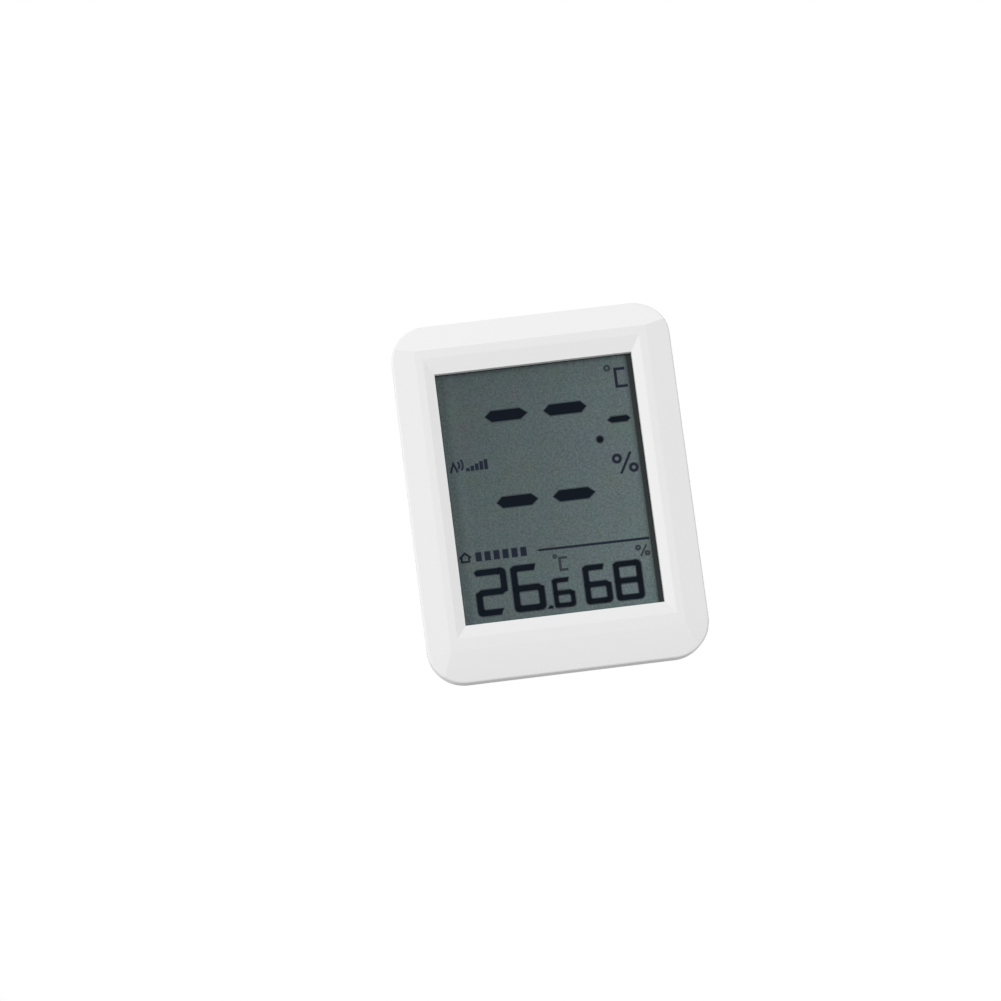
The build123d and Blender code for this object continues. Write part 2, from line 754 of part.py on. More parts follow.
for name, place in zip(("left", "middle", "right"), button_places):
    with BuildPart() as plunger:
        with BuildSketch(plane_at(switch_top - plunger_sink)):
            with Locations(place):
                Circle(plunger_diameter / 2)
        extrude(amount=-(plunger_sink + plunger_rise))
    finish(plunger, f"switch_plunger_{name}")

    with BuildPart() as cap:
        with BuildSketch(plane_at(plunger_top)):
            with Locations(place):
                Circle(stem_diameter / 2)
        extrude(amount=plunger_top - flange_top)
        with BuildSketch(plane_at(flange_top - cap_flange_height)):
            with Locations(place):
                SlotOverall(button_width + 2 * cap_flange, button_rise + 2 * cap_flange)
        extrude(amount=-cap_flange_height)
        with BuildSketch(plane_at(flange_top)):
            with Locations(place):
                SlotOverall(button_width, button_rise)
        extrude(amount=flange_top + cap_recess - body_depth)
        chamfer(cap.edges().group_by(Axis.Y)[-1], cap_edge)
    finish(cap, f"button_{name}")

# Cells, their springs and contacts. The lower cell's spring is on the left, the upper cell's on the right.
cell_edge = 0.4
spring_wire = 0.6
spring_turns = 3
spring_base_radius = 3.6
spring_tip_radius = 2.4
contact_height = 9.0
contact_near = bay_floor_depth + fit_gap
contact_cover = 1.5
contact_far = door_face_depth - contact_cover
dimple_base = 2.6
dimple_top = 1.6
lower_cell_height = cell_middle - cell_pitch / 2
upper_cell_height = cell_middle + cell_pitch / 2


def cell(height, side):
    """An AAA cell along X, whose raised end points to a side of the case."""
    nub_end = side * (bay_width / 2 - contact_thickness - dimple_height)
    shoulder = nub_end - side * nub_length
    flat_end = nub_end - side * cell_length
    low, high = sorted((shoulder, flat_end))
    with BuildPart() as battery:
        with BuildSketch(Plane.YZ.offset(low)):
            with Locations((deep(cell_depth), height)):
                Circle(cell_diameter / 2)
        extrude(amount=high - low)
        chamfer(battery.edges(), cell_edge)
        with BuildSketch(Plane.YZ.offset(min(shoulder, nub_end))):
            with Locations((deep(cell_depth), height)):
                Circle(nub_diameter / 2)
        extrude(amount=nub_length)
    return battery


finish(cell(lower_cell_height, 1), "battery_lower")
finish(cell(upper_cell_height, -1), "battery_upper")


def contact(label, side, low, high, dimple_heights):
    """A sprung steel plate on the bay's end wall, with board tails and a dimple for each raised cell end."""
    wall = side * bay_width / 2
    face = wall - side * contact_thickness
    tails = [height for height in (lower_cell_height, upper_cell_height) if low < height < high]
    with BuildPart() as plate:
        with Locations(((wall + face) / 2, deep((contact_near + contact_far) / 2), (low + high) / 2)):
            Box(contact_thickness, contact_far - contact_near, high - low)
        tail_middle = deep((board_back + contact_near) / 2)
        with Locations(*[((wall + face) / 2, tail_middle, height) for height in tails[:1]]):
            Box(contact_thickness, contact_near - board_back, tail_width)
        for height in dimple_heights:
            with BuildSketch(Plane.YZ.offset(face)):
                with Locations((deep(cell_depth), height)):
                    Circle(dimple_base)
            with BuildSketch(Plane.YZ.offset(face - side * dimple_height)):
                with Locations((deep(cell_depth), height)):
                    Circle(dimple_top)
            loft()
    finish(plate, label)


half_contact = contact_height / 2
contact_low, contact_high = lower_cell_height - half_contact, upper_cell_height + half_contact
contact("bridge_contact", -1, contact_low, contact_high, [upper_cell_height])
contact("positive_contact", 1, contact_low, lower_cell_height + half_contact, [lower_cell_height])
contact("negative_contact", 1, upper_cell_height - half_contact, contact_high, [])


def least_gap(path, turns, wire_diameter):
    """The least distance between neighbouring turns of a wound wire, measured on points along it."""
    steps = 48
    points = [tuple(path @ (i / (turns * steps))) for i in range(int(turns * steps) + 1)]
    count = len(points)
    near = [dist(points[i], points[j]) for i in range(count) for j in range(i + steps // 2, count)]
    return min(near) - wire_diameter


def wound_wire(start, direction, base_radius, tip_radius, length, turns, wire_diameter):
    """A wire wound on a cone from a base radius to a tip radius, along a straight axis, as a faceted tube."""
    slant = degrees(atan2(tip_radius - base_radius, length))
    with BuildPart() as wire:
        with BuildLine() as path:
            Helix(length / turns, length, base_radius, center=start, direction=direction, cone_angle=slant)
        with BuildSketch(Plane(origin=path.line @ 0, z_dir=path.line % 0)):
            RegularPolygon(wire_diameter / 2, wire_sides)
        sweep(path=path.line, is_frenet=True)
    print("turns", turns, "least gap", round(least_gap(path.line, turns, wire_diameter), 2))
    return wire


with BuildPart() as battery_springs:
    for side, height in ((-1, lower_cell_height), (1, upper_cell_height)):
        base = side * (bay_width / 2 - contact_thickness - spring_wire / 2)
        add(wound_wire((base, deep(cell_depth), height), (-side, 0, 0), spring_base_radius, spring_tip_radius,
                       spring_length - spring_wire, spring_turns, spring_wire).part)
finish(battery_springs, "battery_springs")
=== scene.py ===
import bpy
import numpy as np
from mathutils import Matrix, Vector


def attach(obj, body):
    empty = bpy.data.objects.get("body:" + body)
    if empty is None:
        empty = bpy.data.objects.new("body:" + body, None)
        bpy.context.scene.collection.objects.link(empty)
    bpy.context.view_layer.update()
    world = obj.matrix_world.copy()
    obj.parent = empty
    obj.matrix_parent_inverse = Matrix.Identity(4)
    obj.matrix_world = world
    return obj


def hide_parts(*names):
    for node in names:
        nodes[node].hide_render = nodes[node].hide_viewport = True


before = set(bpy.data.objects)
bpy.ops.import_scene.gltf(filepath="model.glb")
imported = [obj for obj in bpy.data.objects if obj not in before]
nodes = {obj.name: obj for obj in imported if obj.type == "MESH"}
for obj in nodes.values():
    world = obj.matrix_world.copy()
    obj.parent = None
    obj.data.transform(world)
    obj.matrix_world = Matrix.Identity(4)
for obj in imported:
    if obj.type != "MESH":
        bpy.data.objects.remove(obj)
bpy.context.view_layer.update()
mm = 0.001

# Camera: a long lens a little to the left of the face and below it, with the unit turned slightly in the
# picture. Its place is in millimetres from the middle of the unit's foot.
focal_pixels, picture_pixels, sensor_width = 3000, 1001, 36.0
camera_place = Vector((-42.6, -647.8, -62.0)) * mm
camera_forward = Vector((0.0492, 0.9867, 0.1552)).normalized()
camera_right = Vector((0.9917, -0.0298, -0.1247))
camera_right = (camera_right - camera_right.dot(camera_forward) * camera_forward).normalized()
camera_up = camera_right.cross(camera_forward)
camera_turn = Matrix((camera_right, camera_up, -camera_forward)).transposed().to_4x4()
lens = bpy.data.cameras.new("camera")
lens.sensor_width = sensor_width
lens.lens = sensor_width * focal_pixels / picture_pixels
lens.clip_start = 0.01
camera = bpy.data.objects.new("camera", lens)
camera.matrix_world = Matrix.Translation(camera_place) @ camera_turn
bpy.context.scene.collection.objects.link(camera)
bpy.context.scene.camera = camera
bpy.context.scene.view_settings.view_transform = "Standard"


# Studio: four wide soft lamps, a key on the left, a weak fill on the right, one above and one behind, in an
# even pale surrounding. A pale floor fades out around the unit. It can't be seen from below, where the camera
# stands, and throws no light back up. Its sizes and the lamps' are in metres.
def feed(tree, socket, value):
    """Links a value to an input where the value is a socket, and writes it there where it isn't."""
    if isinstance(value, bpy.types.NodeSocket):
        tree.links.new(value, socket)
    else:
        socket.default_value = value


def node(tree, kind, settings=None, **values):
    """Adds a node. Values go to its input sockets by name, with _ for a space."""
    made = tree.nodes.new(kind)
    for name, value in (settings or {}).items():
        setattr(made, name, value)
    for name, value in values.items():
        feed(tree, next(s for s in made.inputs if s.name.replace(" ", "_") == name and s.enabled), value)
    return made


def worked_out(tree, kind, operation, terms):
    """The result of an operation on terms, which are sockets or values in the order of the node's inputs."""
    made = node(tree, kind, {"operation": operation})
    for socket, term in zip(made.inputs, terms):
        feed(tree, socket, term)
    return next(s for s in made.outputs if s.enabled)


def math_node(tree, operation, *terms):
    """The result of a sum on numbers, each a socket or a value."""
    return worked_out(tree, "ShaderNodeMath", operation, terms)


def vector_node(tree, operation, *terms):
    """The result of a sum on vectors or colours, term by term."""
    return worked_out(tree, "ShaderNodeVectorMath", operation, terms)


def mixed_colour(tree, share, first, second):
    """The colour that lies a share of the way from the first colour to the second."""
    made = node(tree, "ShaderNodeMix", {"data_type": "RGBA"}, Factor=share, A=first, B=second)
    return next(s for s in made.outputs if s.enabled)


def lamp(name, place, size, power):
    """A square soft lamp that points at the middle of the unit's face, in metres and watts."""
    light = bpy.data.lights.new(name, "AREA")
    light.size, light.energy = size, power
    holder = bpy.data.objects.new(name, light)
    aim = (face_middle - Vector(place)).to_track_quat("-Z", "Y").to_matrix().to_4x4()
    holder.matrix_world = Matrix.Translation(place) @ aim
    bpy.context.scene.collection.objects.link(holder)


face_middle = Vector((0, 0, 40)) * mm
lamp("key_lamp", (-2.0, -1.6, 0.5), 1.2, 36.8)
lamp("fill_lamp", (1.5, -2.0, 0.4), 1.2, 9.0)
lamp("top_lamp", (-0.2, -0.6, 2.4), 1.2, 11.2)
lamp("back_lamp", (1.2, 2.2, 0.6), 1.4, 30.0)

white, ambient_strength, backdrop_strength = (1, 1, 1, 1), 0.52, 1.0
world = bpy.data.worlds.new("studio")
bpy.context.scene.world = world
world.use_nodes = True
sky = world.node_tree
sky.nodes.clear()
ray = node(sky, "ShaderNodeLightPath")
mirrored = math_node(sky, "MAXIMUM", ray.outputs["Is Glossy Ray"], ray.outputs["Is Transmission Ray"])
seen = math_node(sky, "MAXIMUM", ray.outputs["Is Camera Ray"], mirrored)
ambient = node(sky, "ShaderNodeBackground", Color=white, Strength=ambient_strength)
backdrop = node(sky, "ShaderNodeBackground", Color=white, Strength=backdrop_strength)
surround = node(sky, "ShaderNodeMixShader", Fac=seen)
sky.links.new(ambient.outputs[0], surround.inputs[1])
sky.links.new(backdrop.outputs[0], surround.inputs[2])
node(sky, "ShaderNodeOutputWorld", Surface=surround.outputs[0])

floor_half, floor_drop, fade_start, fade_end = 3.0, 0.0003, 0.1, 0.35
floor_dark, floor_light = (0.9, 0.9, 0.9, 1), (0.94, 0.94, 0.94, 1)
floor_mesh = bpy.data.meshes.new("floor")
square_corners = ((-1, -1), (1, -1), (1, 1), (-1, 1))
floor_corners = [(x * floor_half, y * floor_half, -floor_drop) for x, y in square_corners]
floor_mesh.from_pydata(floor_corners, [], [(0, 1, 2, 3)])
floor = bpy.data.objects.new("floor", floor_mesh)
bpy.context.scene.collection.objects.link(floor)
pale = bpy.data.materials.new("pale_floor")
pale.use_nodes = True
tree = pale.node_tree
tree.nodes.clear()
mottle = node(tree, "ShaderNodeTexNoise", Scale=6.0, Detail=2.0)
tone = mixed_colour(tree, mottle.outputs["Fac"], floor_dark, floor_light)
matte = node(tree, "ShaderNodeBsdfPrincipled", Base_Color=tone, Roughness=0.9)
clear = node(tree, "ShaderNodeBsdfTransparent")
below = node(tree, "ShaderNodeNewGeometry")
bounce = node(tree, "ShaderNodeLightPath")
distance = vector_node(tree, "LENGTH", node(tree, "ShaderNodeTexCoord").outputs["Object"])
away = node(tree, "ShaderNodeMapRange", {"interpolation_type": "SMOOTHSTEP"}, Value=distance,
            From_Min=fade_start, From_Max=fade_end)
unseen = math_node(tree, "MAXIMUM", below.outputs["Backfacing"], bounce.outputs["Is Diffuse Ray"])
either = node(tree, "ShaderNodeMixShader", Fac=math_node(tree, "MAXIMUM", unseen, away.outputs[0]))
tree.links.new(matte.outputs[0], either.inputs[1])
tree.links.new(clear.outputs[0], either.inputs[2])
node(tree, "ShaderNodeOutputMaterial", Surface=either.outputs[0])
floor_mesh.materials.append(pale)


# Housing: front frame, rear case, battery door, stand leg and three button caps, all moulded in white plastic
# with a fine satin texture. Wear has polished the outer edges a little.
def group(name, inputs, outputs):
    """A shader node group with named numbers in and out, and its input and output nodes."""
    tree = bpy.data.node_groups.new(name, "ShaderNodeTree")
    for label, value in inputs.items():
        socket = tree.interface.new_socket(label, in_out="INPUT", socket_type="NodeSocketFloat")
        socket.default_value = value
    for label in outputs:
        tree.interface.new_socket(label, in_out="OUTPUT", socket_type="NodeSocketFloat")
    return tree, tree.nodes.new("NodeGroupInput"), tree.nodes.new("NodeGroupOutput")


# Grain: fine noise for the eroded tool texture on top of a broad unevenness, as one height and one tone.
grain_values = {"Grain Scale": 3500.0, "Wave Scale": 60.0, "Wave Share": 0.3}
grain_tree, grain_in, grain_out = group("moulded_grain", grain_values, ("Height", "Tone"))
spot = node(grain_tree, "ShaderNodeTexCoord").outputs["Object"]
fine = node(grain_tree, "ShaderNodeTexNoise", Vector=spot, Scale=grain_in.outputs["Grain Scale"], Detail=2.0)
broad = node(grain_tree, "ShaderNodeTexNoise", Vector=spot, Scale=grain_in.outputs["Wave Scale"], Detail=3.0)
mixed = math_node(grain_tree, "MULTIPLY", broad.outputs["Fac"], grain_in.outputs["Wave Share"])
grain_tree.links.new(math_node(grain_tree, "ADD", fine.outputs["Fac"], mixed), grain_out.inputs["Height"])
grain_tree.links.new(broad.outputs["Fac"], grain_out.inputs["Tone"])

# Worn edge: how far the normal turns within a small radius, which is 1 on a sharp edge and 0 on a flat.
edge_values = {"Reach": 0.4 * mm, "Gain": 4.0}
edge_tree, edge_in, edge_out = group("worn_edge", edge_values, ("Edge",))
rounded = node(edge_tree, "ShaderNodeBevel", {"samples": 4}, Radius=edge_in.outputs["Reach"])
flat_normal = node(edge_tree, "ShaderNodeNewGeometry").outputs["Normal"]
turned = vector_node(edge_tree, "DOT_PRODUCT", rounded.outputs[0], flat_normal)
gap = math_node(edge_tree, "SUBTRACT", 1.0, turned)
raised = math_node(edge_tree, "MULTIPLY", gap, edge_in.outputs["Gain"])
edge_tree.links.new(node(edge_tree, "ShaderNodeClamp", Value=raised).outputs[0], edge_out.inputs["Edge"])


def srgb(*levels):
    """A linear colour with alpha from 0 to 255 display levels."""
    part = np.array(levels) / 255
    linear = np.where(part <= 0.04045, part / 12.92, ((part + 0.055) / 1.055) ** 2.4)
    return (*linear.tolist(), 1.0)


def toned(colour, gain):
    """A colour made lighter or darker by a factor, and no lighter than white."""
    return (*[min(part * gain, 1) for part in colour[:3]], 1)


edge_share, edge_gain, edge_polish, rough_swing = 0.5, 1.06, 0.12, 0.12


def finish(name, colour, roughness, grain=3500.0, depth=0.008, shade=0.95, wave=60.0, **shader):
    """A moulded or coated finish. Its colour and roughness swing over broad patches, its edges are lighter
    and smoother, and its grain stands a depth in millimetres high."""
    made = bpy.data.materials.new(name)
    made.use_nodes = True
    tree = made.node_tree
    tree.nodes.clear()
    grains = node(tree, "ShaderNodeGroup", {"node_tree": grain_tree}, Grain_Scale=grain, Wave_Scale=wave)
    edge = node(tree, "ShaderNodeGroup", {"node_tree": edge_tree}).outputs["Edge"]
    patch = grains.outputs["Tone"]
    body = mixed_colour(tree, patch, toned(colour, shade), toned(colour, 1 / shade))
    worn = mixed_colour(tree, math_node(tree, "MULTIPLY", edge, edge_share), body, toned(colour, edge_gain))
    rough = math_node(tree, "MULTIPLY_ADD", patch, rough_swing, roughness - rough_swing / 2)
    smooth = math_node(tree, "SUBTRACT", rough, math_node(tree, "MULTIPLY", edge, edge_polish))
    bump = node(tree, "ShaderNodeBump", Distance=depth * mm, Height=grains.outputs["Height"]).outputs[0]
    surface = node(tree, "ShaderNodeBsdfPrincipled", Base_Color=worn, Roughness=smooth, Normal=bump, **shader)
    node(tree, "ShaderNodeOutputMaterial", Surface=surface.outputs[0])
    return made


def dress(material, *names):
    """Gives CAD nodes a material."""
    for name in names:
        mesh = nodes[name].data
        mesh.materials.clear()
        mesh.materials.append(material)


button_names = ["button_left", "button_middle", "button_right"]
white_plastic = finish("white_plastic", srgb(231, 231, 231), 0.5, shade=0.99)
dress(white_plastic, "front_frame", "rear_case", "battery_door", "stand_leg", *button_names)

# Display mask: a thin film printed black, laid on the display's face. It shows as a bar at the right of the
# window and as a line above and below.
printed_black = finish("printed_black", srgb(37, 42, 43), 0.45, grain=2500.0, shade=0.9,
                       Specular_IOR_Level=0.2)
dress(printed_black, "display_mask")


# Polarizer: the satin film glued to the front of the glass. Its grey-green has a fine sparkle and faint broad
# clouds of colour. Painted light and shade lie over them: painted light at the left edge, where the lip's
# shadow falls, darkest just inside it, from there a painted sheen lighter to the right, painted shade under
# the top lip that lessens downwards, and painted shade beside the bar.
def base_colour(material):
    """The input for the colour of a finish, and the socket that feeds it."""
    surface = next(n for n in material.node_tree.nodes if n.type == "BSDF_PRINCIPLED")
    colour = surface.inputs["Base Color"]
    return colour, colour.links[0].from_socket


def ramp(tree, place, stops):
    """A grey ramp along a place: each stop is a position from 0 to 1 and the level there."""
    made = node(tree, "ShaderNodeValToRGB", Fac=place)
    elements = made.color_ramp.elements
    elements.remove(elements[-1])
    (position, level), *later = stops
    elements[0].position, elements[0].color = position, (level, level, level, 1)
    for position, level in later:
        elements.new(position).color = (level, level, level, 1)
    return made


window_half, painted_light_gain = 21.6 * mm, 1.3
# Stops of the painted light and shade across the window, each a share of its width and a level.
painted_light_stops = ((0.0, 1.26), (0.106, 0.86), (0.5, 1.0), (0.824, 1.16), (0.947, 1.2), (0.975, 0.93))
painted_top_shade_rate, painted_top_shade_middle = 4.0, 47 * mm
cloud_gain, cloud_rest = (0.3, 0.2, 0.3), (0.85, 0.9, 0.85)
lcd_face = finish("lcd_face", srgb(80, 92, 93), 0.38, grain=9000.0, depth=0.004, shade=0.97, wave=45.0,
                  Specular_IOR_Level=0.2)
tree = lcd_face.node_tree
spot = node(tree, "ShaderNodeTexCoord").outputs["Object"]
across = node(tree, "ShaderNodeSeparateXYZ", Vector=spot)
sideways = across.outputs["X"]
share = node(tree, "ShaderNodeMapRange", Value=sideways, From_Min=-window_half, From_Max=window_half)
painted_light_ramp = ramp(tree, share.outputs[0], [(position, level / painted_light_gain) for position, level in painted_light_stops])
sparkle = node(tree, "ShaderNodeTexNoise", Vector=spot, Scale=2200.0, Detail=1.0)
glint = math_node(tree, "ADD", sparkle.outputs["Fac"], 0.5)
# Painted shade under the top lip: the level falls with height, and is 1 at the middle height.
painted_top_shade = math_node(tree, "MULTIPLY_ADD", across.outputs["Z"], -painted_top_shade_rate, 1 + painted_top_shade_rate * painted_top_shade_middle)
level = math_node(tree, "MULTIPLY", math_node(tree, "MULTIPLY", glint, painted_top_shade), painted_light_gain)
clouds = node(tree, "ShaderNodeTexNoise", Vector=spot, Scale=220.0, Detail=4.0)
tint = vector_node(tree, "MULTIPLY_ADD", clouds.outputs["Color"], cloud_gain, cloud_rest)
film_colour, film = base_colour(lcd_face)
for factor in (tint, painted_light_ramp.outputs["Color"]):
    film = vector_node(tree, "MULTIPLY", film, factor)
# The film's colour scaled by the sparkle and by the painted light and shade.
lit = node(tree, "ShaderNodeVectorMath", {"operation": "SCALE"}, Vector=film, Scale=level)
tree.links.new(lit.outputs[0], film_colour)
dress(lcd_face, "lcd_front_polarizer")


# Display segments: shapes in which the dyed liquid crystal between the two glasses turns dark. Here each is a
# thin plate that stands a few hundredths of a millimetre proud of the film, a hairline from its neighbours.
def extent(name):
    """The low and the high corner of a CAD node, in millimetres."""
    mesh = nodes[name].data
    places = np.empty(3 * len(mesh.vertices))
    mesh.vertices.foreach_get("co", places)
    places = places.reshape(-1, 3) / mm
    return places.min(axis=0).round(4), places.max(axis=0).round(4)


film_level = extent("lcd_front_polarizer")[0][1]
segment_proud, segment_sunk, segment_bevel, hairline = 0.04, 0.03, 0.02, 0.07
shoulder_share, hoop_sides, sharp_angle = 0.6, 40, np.radians(32)


def arc(centre, radius, start, end, steps=6):
    """Points of a circular arc from one angle to another, in degrees."""
    turn = np.radians(np.linspace(start, end, steps))
    return np.array(centre) + radius * np.stack([np.cos(turn), np.sin(turn)], axis=1)


def swept(ring):
    """Twice the area inside a closed outline, above zero where it runs anticlockwise seen from the front."""
    after = np.roll(ring, -1, axis=0)
    return np.sum(ring[:, 0] * after[:, 1] - after[:, 0] * ring[:, 1])


def grown(outline, reach):
    """The outline moved outwards by a reach, along the middle of the two directions that meet at a point."""
    ring = np.asarray(outline, float)
    along = np.roll(ring, -1, axis=0) - ring
    along /= np.linalg.norm(along, axis=1)[:, None]
    both = along + np.roll(along, 1, axis=0)
    outward = np.stack([both[:, 1], -both[:, 0]], axis=1) * np.sign(swept(ring))
    return ring + reach * outward / np.linalg.norm(outward, axis=1)[:, None]


def skin(grid, closed=False):
    """Points and faces of a grid of rings, which is in millimetres. Quads join neighbouring rings, and either
    a face closes each end or the last ring joins the first. Each ring runs anticlockwise about the direction
    from ring to ring."""
    rings, sides = grid.shape[:2]
    index = np.arange(rings * sides).reshape(rings, sides)
    start, end = (index, np.roll(index, -1, axis=0)) if closed else (index[:-1], index[1:])
    quads = np.stack([start, np.roll(start, -1, axis=1), np.roll(end, -1, axis=1), end], axis=-1)
    caps = [] if closed else [index[0, ::-1].tolist(), index[-1].tolist()]
    return grid.reshape(-1, 3) * mm, [*quads.reshape(-1, 4).tolist(), *caps]


def upright(outline, level):
    """The points of an outline, which gives X and Z, at a level of Y."""
    return np.insert(outline, 1, level, axis=1)


def plate(outline, proud=segment_proud, sunk=segment_sunk, bevel=segment_bevel, level=film_level, facing=-1):
    """A flat plate: the outline below a surface, again near the plate's face, and once more a little inside
    on the face. The surface lies at a level of Y and faces the front with -1 or the back with 1."""
    ring = np.asarray(outline, float)
    if swept(ring) * facing > 0:
        ring = ring[::-1]
    foot, shoulder, face = (level + facing * rise for rise in (-sunk, proud * shoulder_share, proud))
    return skin(np.stack([upright(ring, foot), upright(ring, shoulder), upright(grown(ring, -bevel), face)]))


def hoop(centre, diameter, width, proud=segment_proud, sunk=segment_sunk, level=film_level, facing=-1):
    """A flat ring: a rectangular section carried round a circle, on a grid of section corner and angle."""
    angle = np.linspace(0, -2 * np.pi * facing, hoop_sides, endpoint=False)
    spoke = np.stack([np.cos(angle), np.sin(angle)], axis=1)
    inner, outer = diameter / 2 - width, diameter / 2
    low, high = level - facing * sunk, level + facing * proud
    corners = ((outer, low), (outer, high), (inner, high), (inner, low))
    rings = [upright(np.array(centre) + radius * spoke, depth) for radius, depth in corners]
    return skin(np.stack(rings), closed=True)


def stroke(points, width):
    """The outline of a line of constant width through points, with mitred corners and square ends."""
    path = np.array(points, float)
    along = np.diff(path, axis=0)
    along /= np.linalg.norm(along, axis=1)[:, None]
    first, last = np.vstack([along[:1], along]), np.vstack([along, along[-1:]])
    side = np.stack([-(first + last)[:, 1], (first + last)[:, 0]], axis=1)
    side /= np.linalg.norm(side, axis=1)[:, None]
    reach = width / 2 / np.sum(side * np.stack([-first[:, 1], first[:, 0]], axis=1), axis=1)
    return np.vstack([path + side * reach[:, None], (path - side * reach[:, None])[::-1]])


def piece(name, shapes, material, body="case", stands_for=None, smooth=False):
    """One mesh object from several closed shapes, which rides on a body, takes its finish from a slot and may
    stand for a CAD node. Turned and swept forms are shaded smooth, apart from their sharp edges."""
    points, faces, count = [], [], 0
    for shape_points, shape_faces in shapes:
        faces += [[count + index for index in face] for face in shape_faces]
        points.append(shape_points)
        count += len(shape_points)
    mesh = bpy.data.meshes.new(name)
    mesh.from_pydata(np.concatenate(points).tolist(), [], faces)
    mesh.materials.append(material)
    if smooth:
        mesh.shade_smooth()
        mesh.set_sharp_from_angle(angle=sharp_angle)
    made = bpy.data.objects.new(name, mesh)
    bpy.context.scene.collection.objects.link(made)
    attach(made, body)
    if stands_for:
        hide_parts(stands_for)
    return made


# Shares of a segment's width: the slants at the digit's top and bottom, the mitre at its left corners, the
# point of a middle segment and the radius of an outer corner.
high_slant_share, low_slant_share, mitre_share, point_share, corner_share = 0.3, 0.5, 0.6, 0.125, 0.85


def digit(left, right, low, high, width, lit):
    """The outlines of a digit's lit segments, a at the top and on clockwise to f, with g across the middle.
    The upper right and lower right corners belong to the upright segments, the left ones are mitred."""
    cut, half, tip, radius = hairline / 2, width / 2, width * point_share, width * corner_share
    inner_left, inner_right = left + width, right - width
    top, mid, foot = high - width, (low + high) / 2, low + width
    above, under = mid + half + cut, mid - half - cut
    mitre = (inner_left - width * mitre_share, top)
    bar_left, bar_right = inner_left - tip + cut, inner_right + tip - cut
    high_start, low_start = inner_right - width * high_slant_share, inner_right - width * low_slant_share
    high_left, high_right = (left + radius, high - radius), (right - radius, high - radius)
    low_left, low_right = (left + radius, low + radius), (right - radius, low + radius)
    shapes = {
        "a": [(inner_right - cut, high), (high_start - cut, top), mitre, *arc(high_left, radius, 150, 90)],
        "b": [(inner_right + cut, high), (high_start + cut, top), (inner_right, top), (inner_right, above),
              (inner_right + tip, above), (right - tip, mid + cut), (right, mid + tip),
              *arc(high_right, radius, 0, 90)],
        "c": [(low_start + cut, low), (inner_right + cut, foot), (inner_right, under),
              (inner_right + tip, under), (right - tip, mid - cut), (right, mid - tip),
              *arc(low_right, radius, 0, -90)],
        "d": [(low_start - cut, low), (inner_right - cut, foot), (inner_left + cut, foot),
              *arc(low_left, radius, 227, 270)],
        "e": [(inner_left, foot + cut), (inner_left, under), (inner_left - tip, under),
              (left + tip, mid - cut), (left, mid - tip), *arc(low_left, radius, 180, 223)],
        "f": [(inner_left, top - cut), (inner_left, above), (inner_left - tip, above),
              (left + tip, mid + cut), (left, mid + tip), *arc(high_left, radius, 180, 154),
              (mitre[0], top - cut)],
        "g": [(left + tip + cut, mid), (bar_left, mid + half), (bar_right, mid + half),
              (right - tip - cut, mid), (bar_right, mid - half), (bar_left, mid - half)],
    }
    return [shapes[name] for name in lit]


def dash(left, right, middle, height, flat_left, flat_right):
    """The outline of a lone middle segment: a flat bar with a point at each end."""
    high, low = middle + height / 2, middle - height / 2
    return [(left, middle), (flat_left, high), (flat_right, high),
            (right, middle), (flat_right, low), (flat_left, low)]


def ink_and_painted_shade(name, colour, shade, gloss):
    """A finish of the segments' dye, and of their painted shadow: a colour, its patches' shade and how much
    it mirrors.
    """
    return finish(name, colour, 0.42, grain=6000.0, depth=0.003, shade=shade, Specular_IOR_Level=gloss)


segment_ink = ink_and_painted_shade("segment_ink", srgb(16, 22, 30), 0.8, 0.03)
segment_mid = ink_and_painted_shade("segment_mid", srgb(33, 38, 51), 0.8, 0.03)
segment_faint = ink_and_painted_shade("segment_faint", srgb(50, 56, 62), 0.9, 0.1)

# Shade: the segments' soft shadow on the reflector behind them, as a fainter, slightly larger copy of each.
segment_shade = ink_and_painted_shade("segment_shade", srgb(62, 70, 75), 0.9, 0.1)
shade_proud = 0.015


def segments(name, outlines, hoops=(), material=segment_ink, reach=0.26):
    """A group of segments, and their shade as a second piece."""
    shapes = [*[plate(outline) for outline in outlines], *[hoop(*ring) for ring in hoops]]
    piece(name, shapes, material)
    shades = [plate(grown(outline, reach), shade_proud) for outline in outlines]
    for centre, size, width in hoops:
        shades.append(hoop(centre, size + 2 * reach, width + 2 * reach, shade_proud))
    piece(name + "_shade", shades, segment_shade)


lit_two, lit_six, lit_eight = "abdeg", "acdefg", "abcdefg"
dash_height, small_dash_height = 2.4, 1.25
dashes = [
    dash(-11.75, -2.5, 57.24, dash_height, -10.4, -4.1), dash(1.1, 10.4, 57.15, dash_height, 2.4, 9.2),
    dash(-11.5, -2.6, 38.2, dash_height, -10.3, -4.0), dash(0.8, 9.9, 38.15, dash_height, 2.15, 8.4),
    dash(14.65, 19.6, 53.45, small_dash_height, 15.5, 18.9),
]
outdoor_dot = arc((12.45, 49.45), 0.72, 0, 345, 24)
segments("outdoor_dashes", [*dashes, outdoor_dot])

large_row, decimal_row, humidity_row = (14.05, 24.15, 1.3), (14.0, 20.35, 0.9), (13.9, 22.35, 1.12)
decimal_point = [(-3.4, 14.05), (-2.9, 14.7), (-2.3, 14.5), (-2.35, 14.05)]
temperature = [*digit(-18.45, -11.55, *large_row, lit_two), *digit(-10.5, -3.7, *large_row, lit_six),
               *digit(-1.85, 2.7, *decimal_row, lit_six), decimal_point]
segments("indoor_temperature_digits", temperature)

humidity = [*digit(5.0, 10.75, *humidity_row, lit_six), *digit(11.65, 17.65, *humidity_row, lit_eight)]
segments("indoor_humidity_digits", humidity)

divider = [(-4.3, 26.93), (-3.6, 27.12), (20.2, 26.95), (20.2, 26.52), (-3.6, 26.72)]
segments("display_divider", [divider], material=segment_mid, reach=0.1)

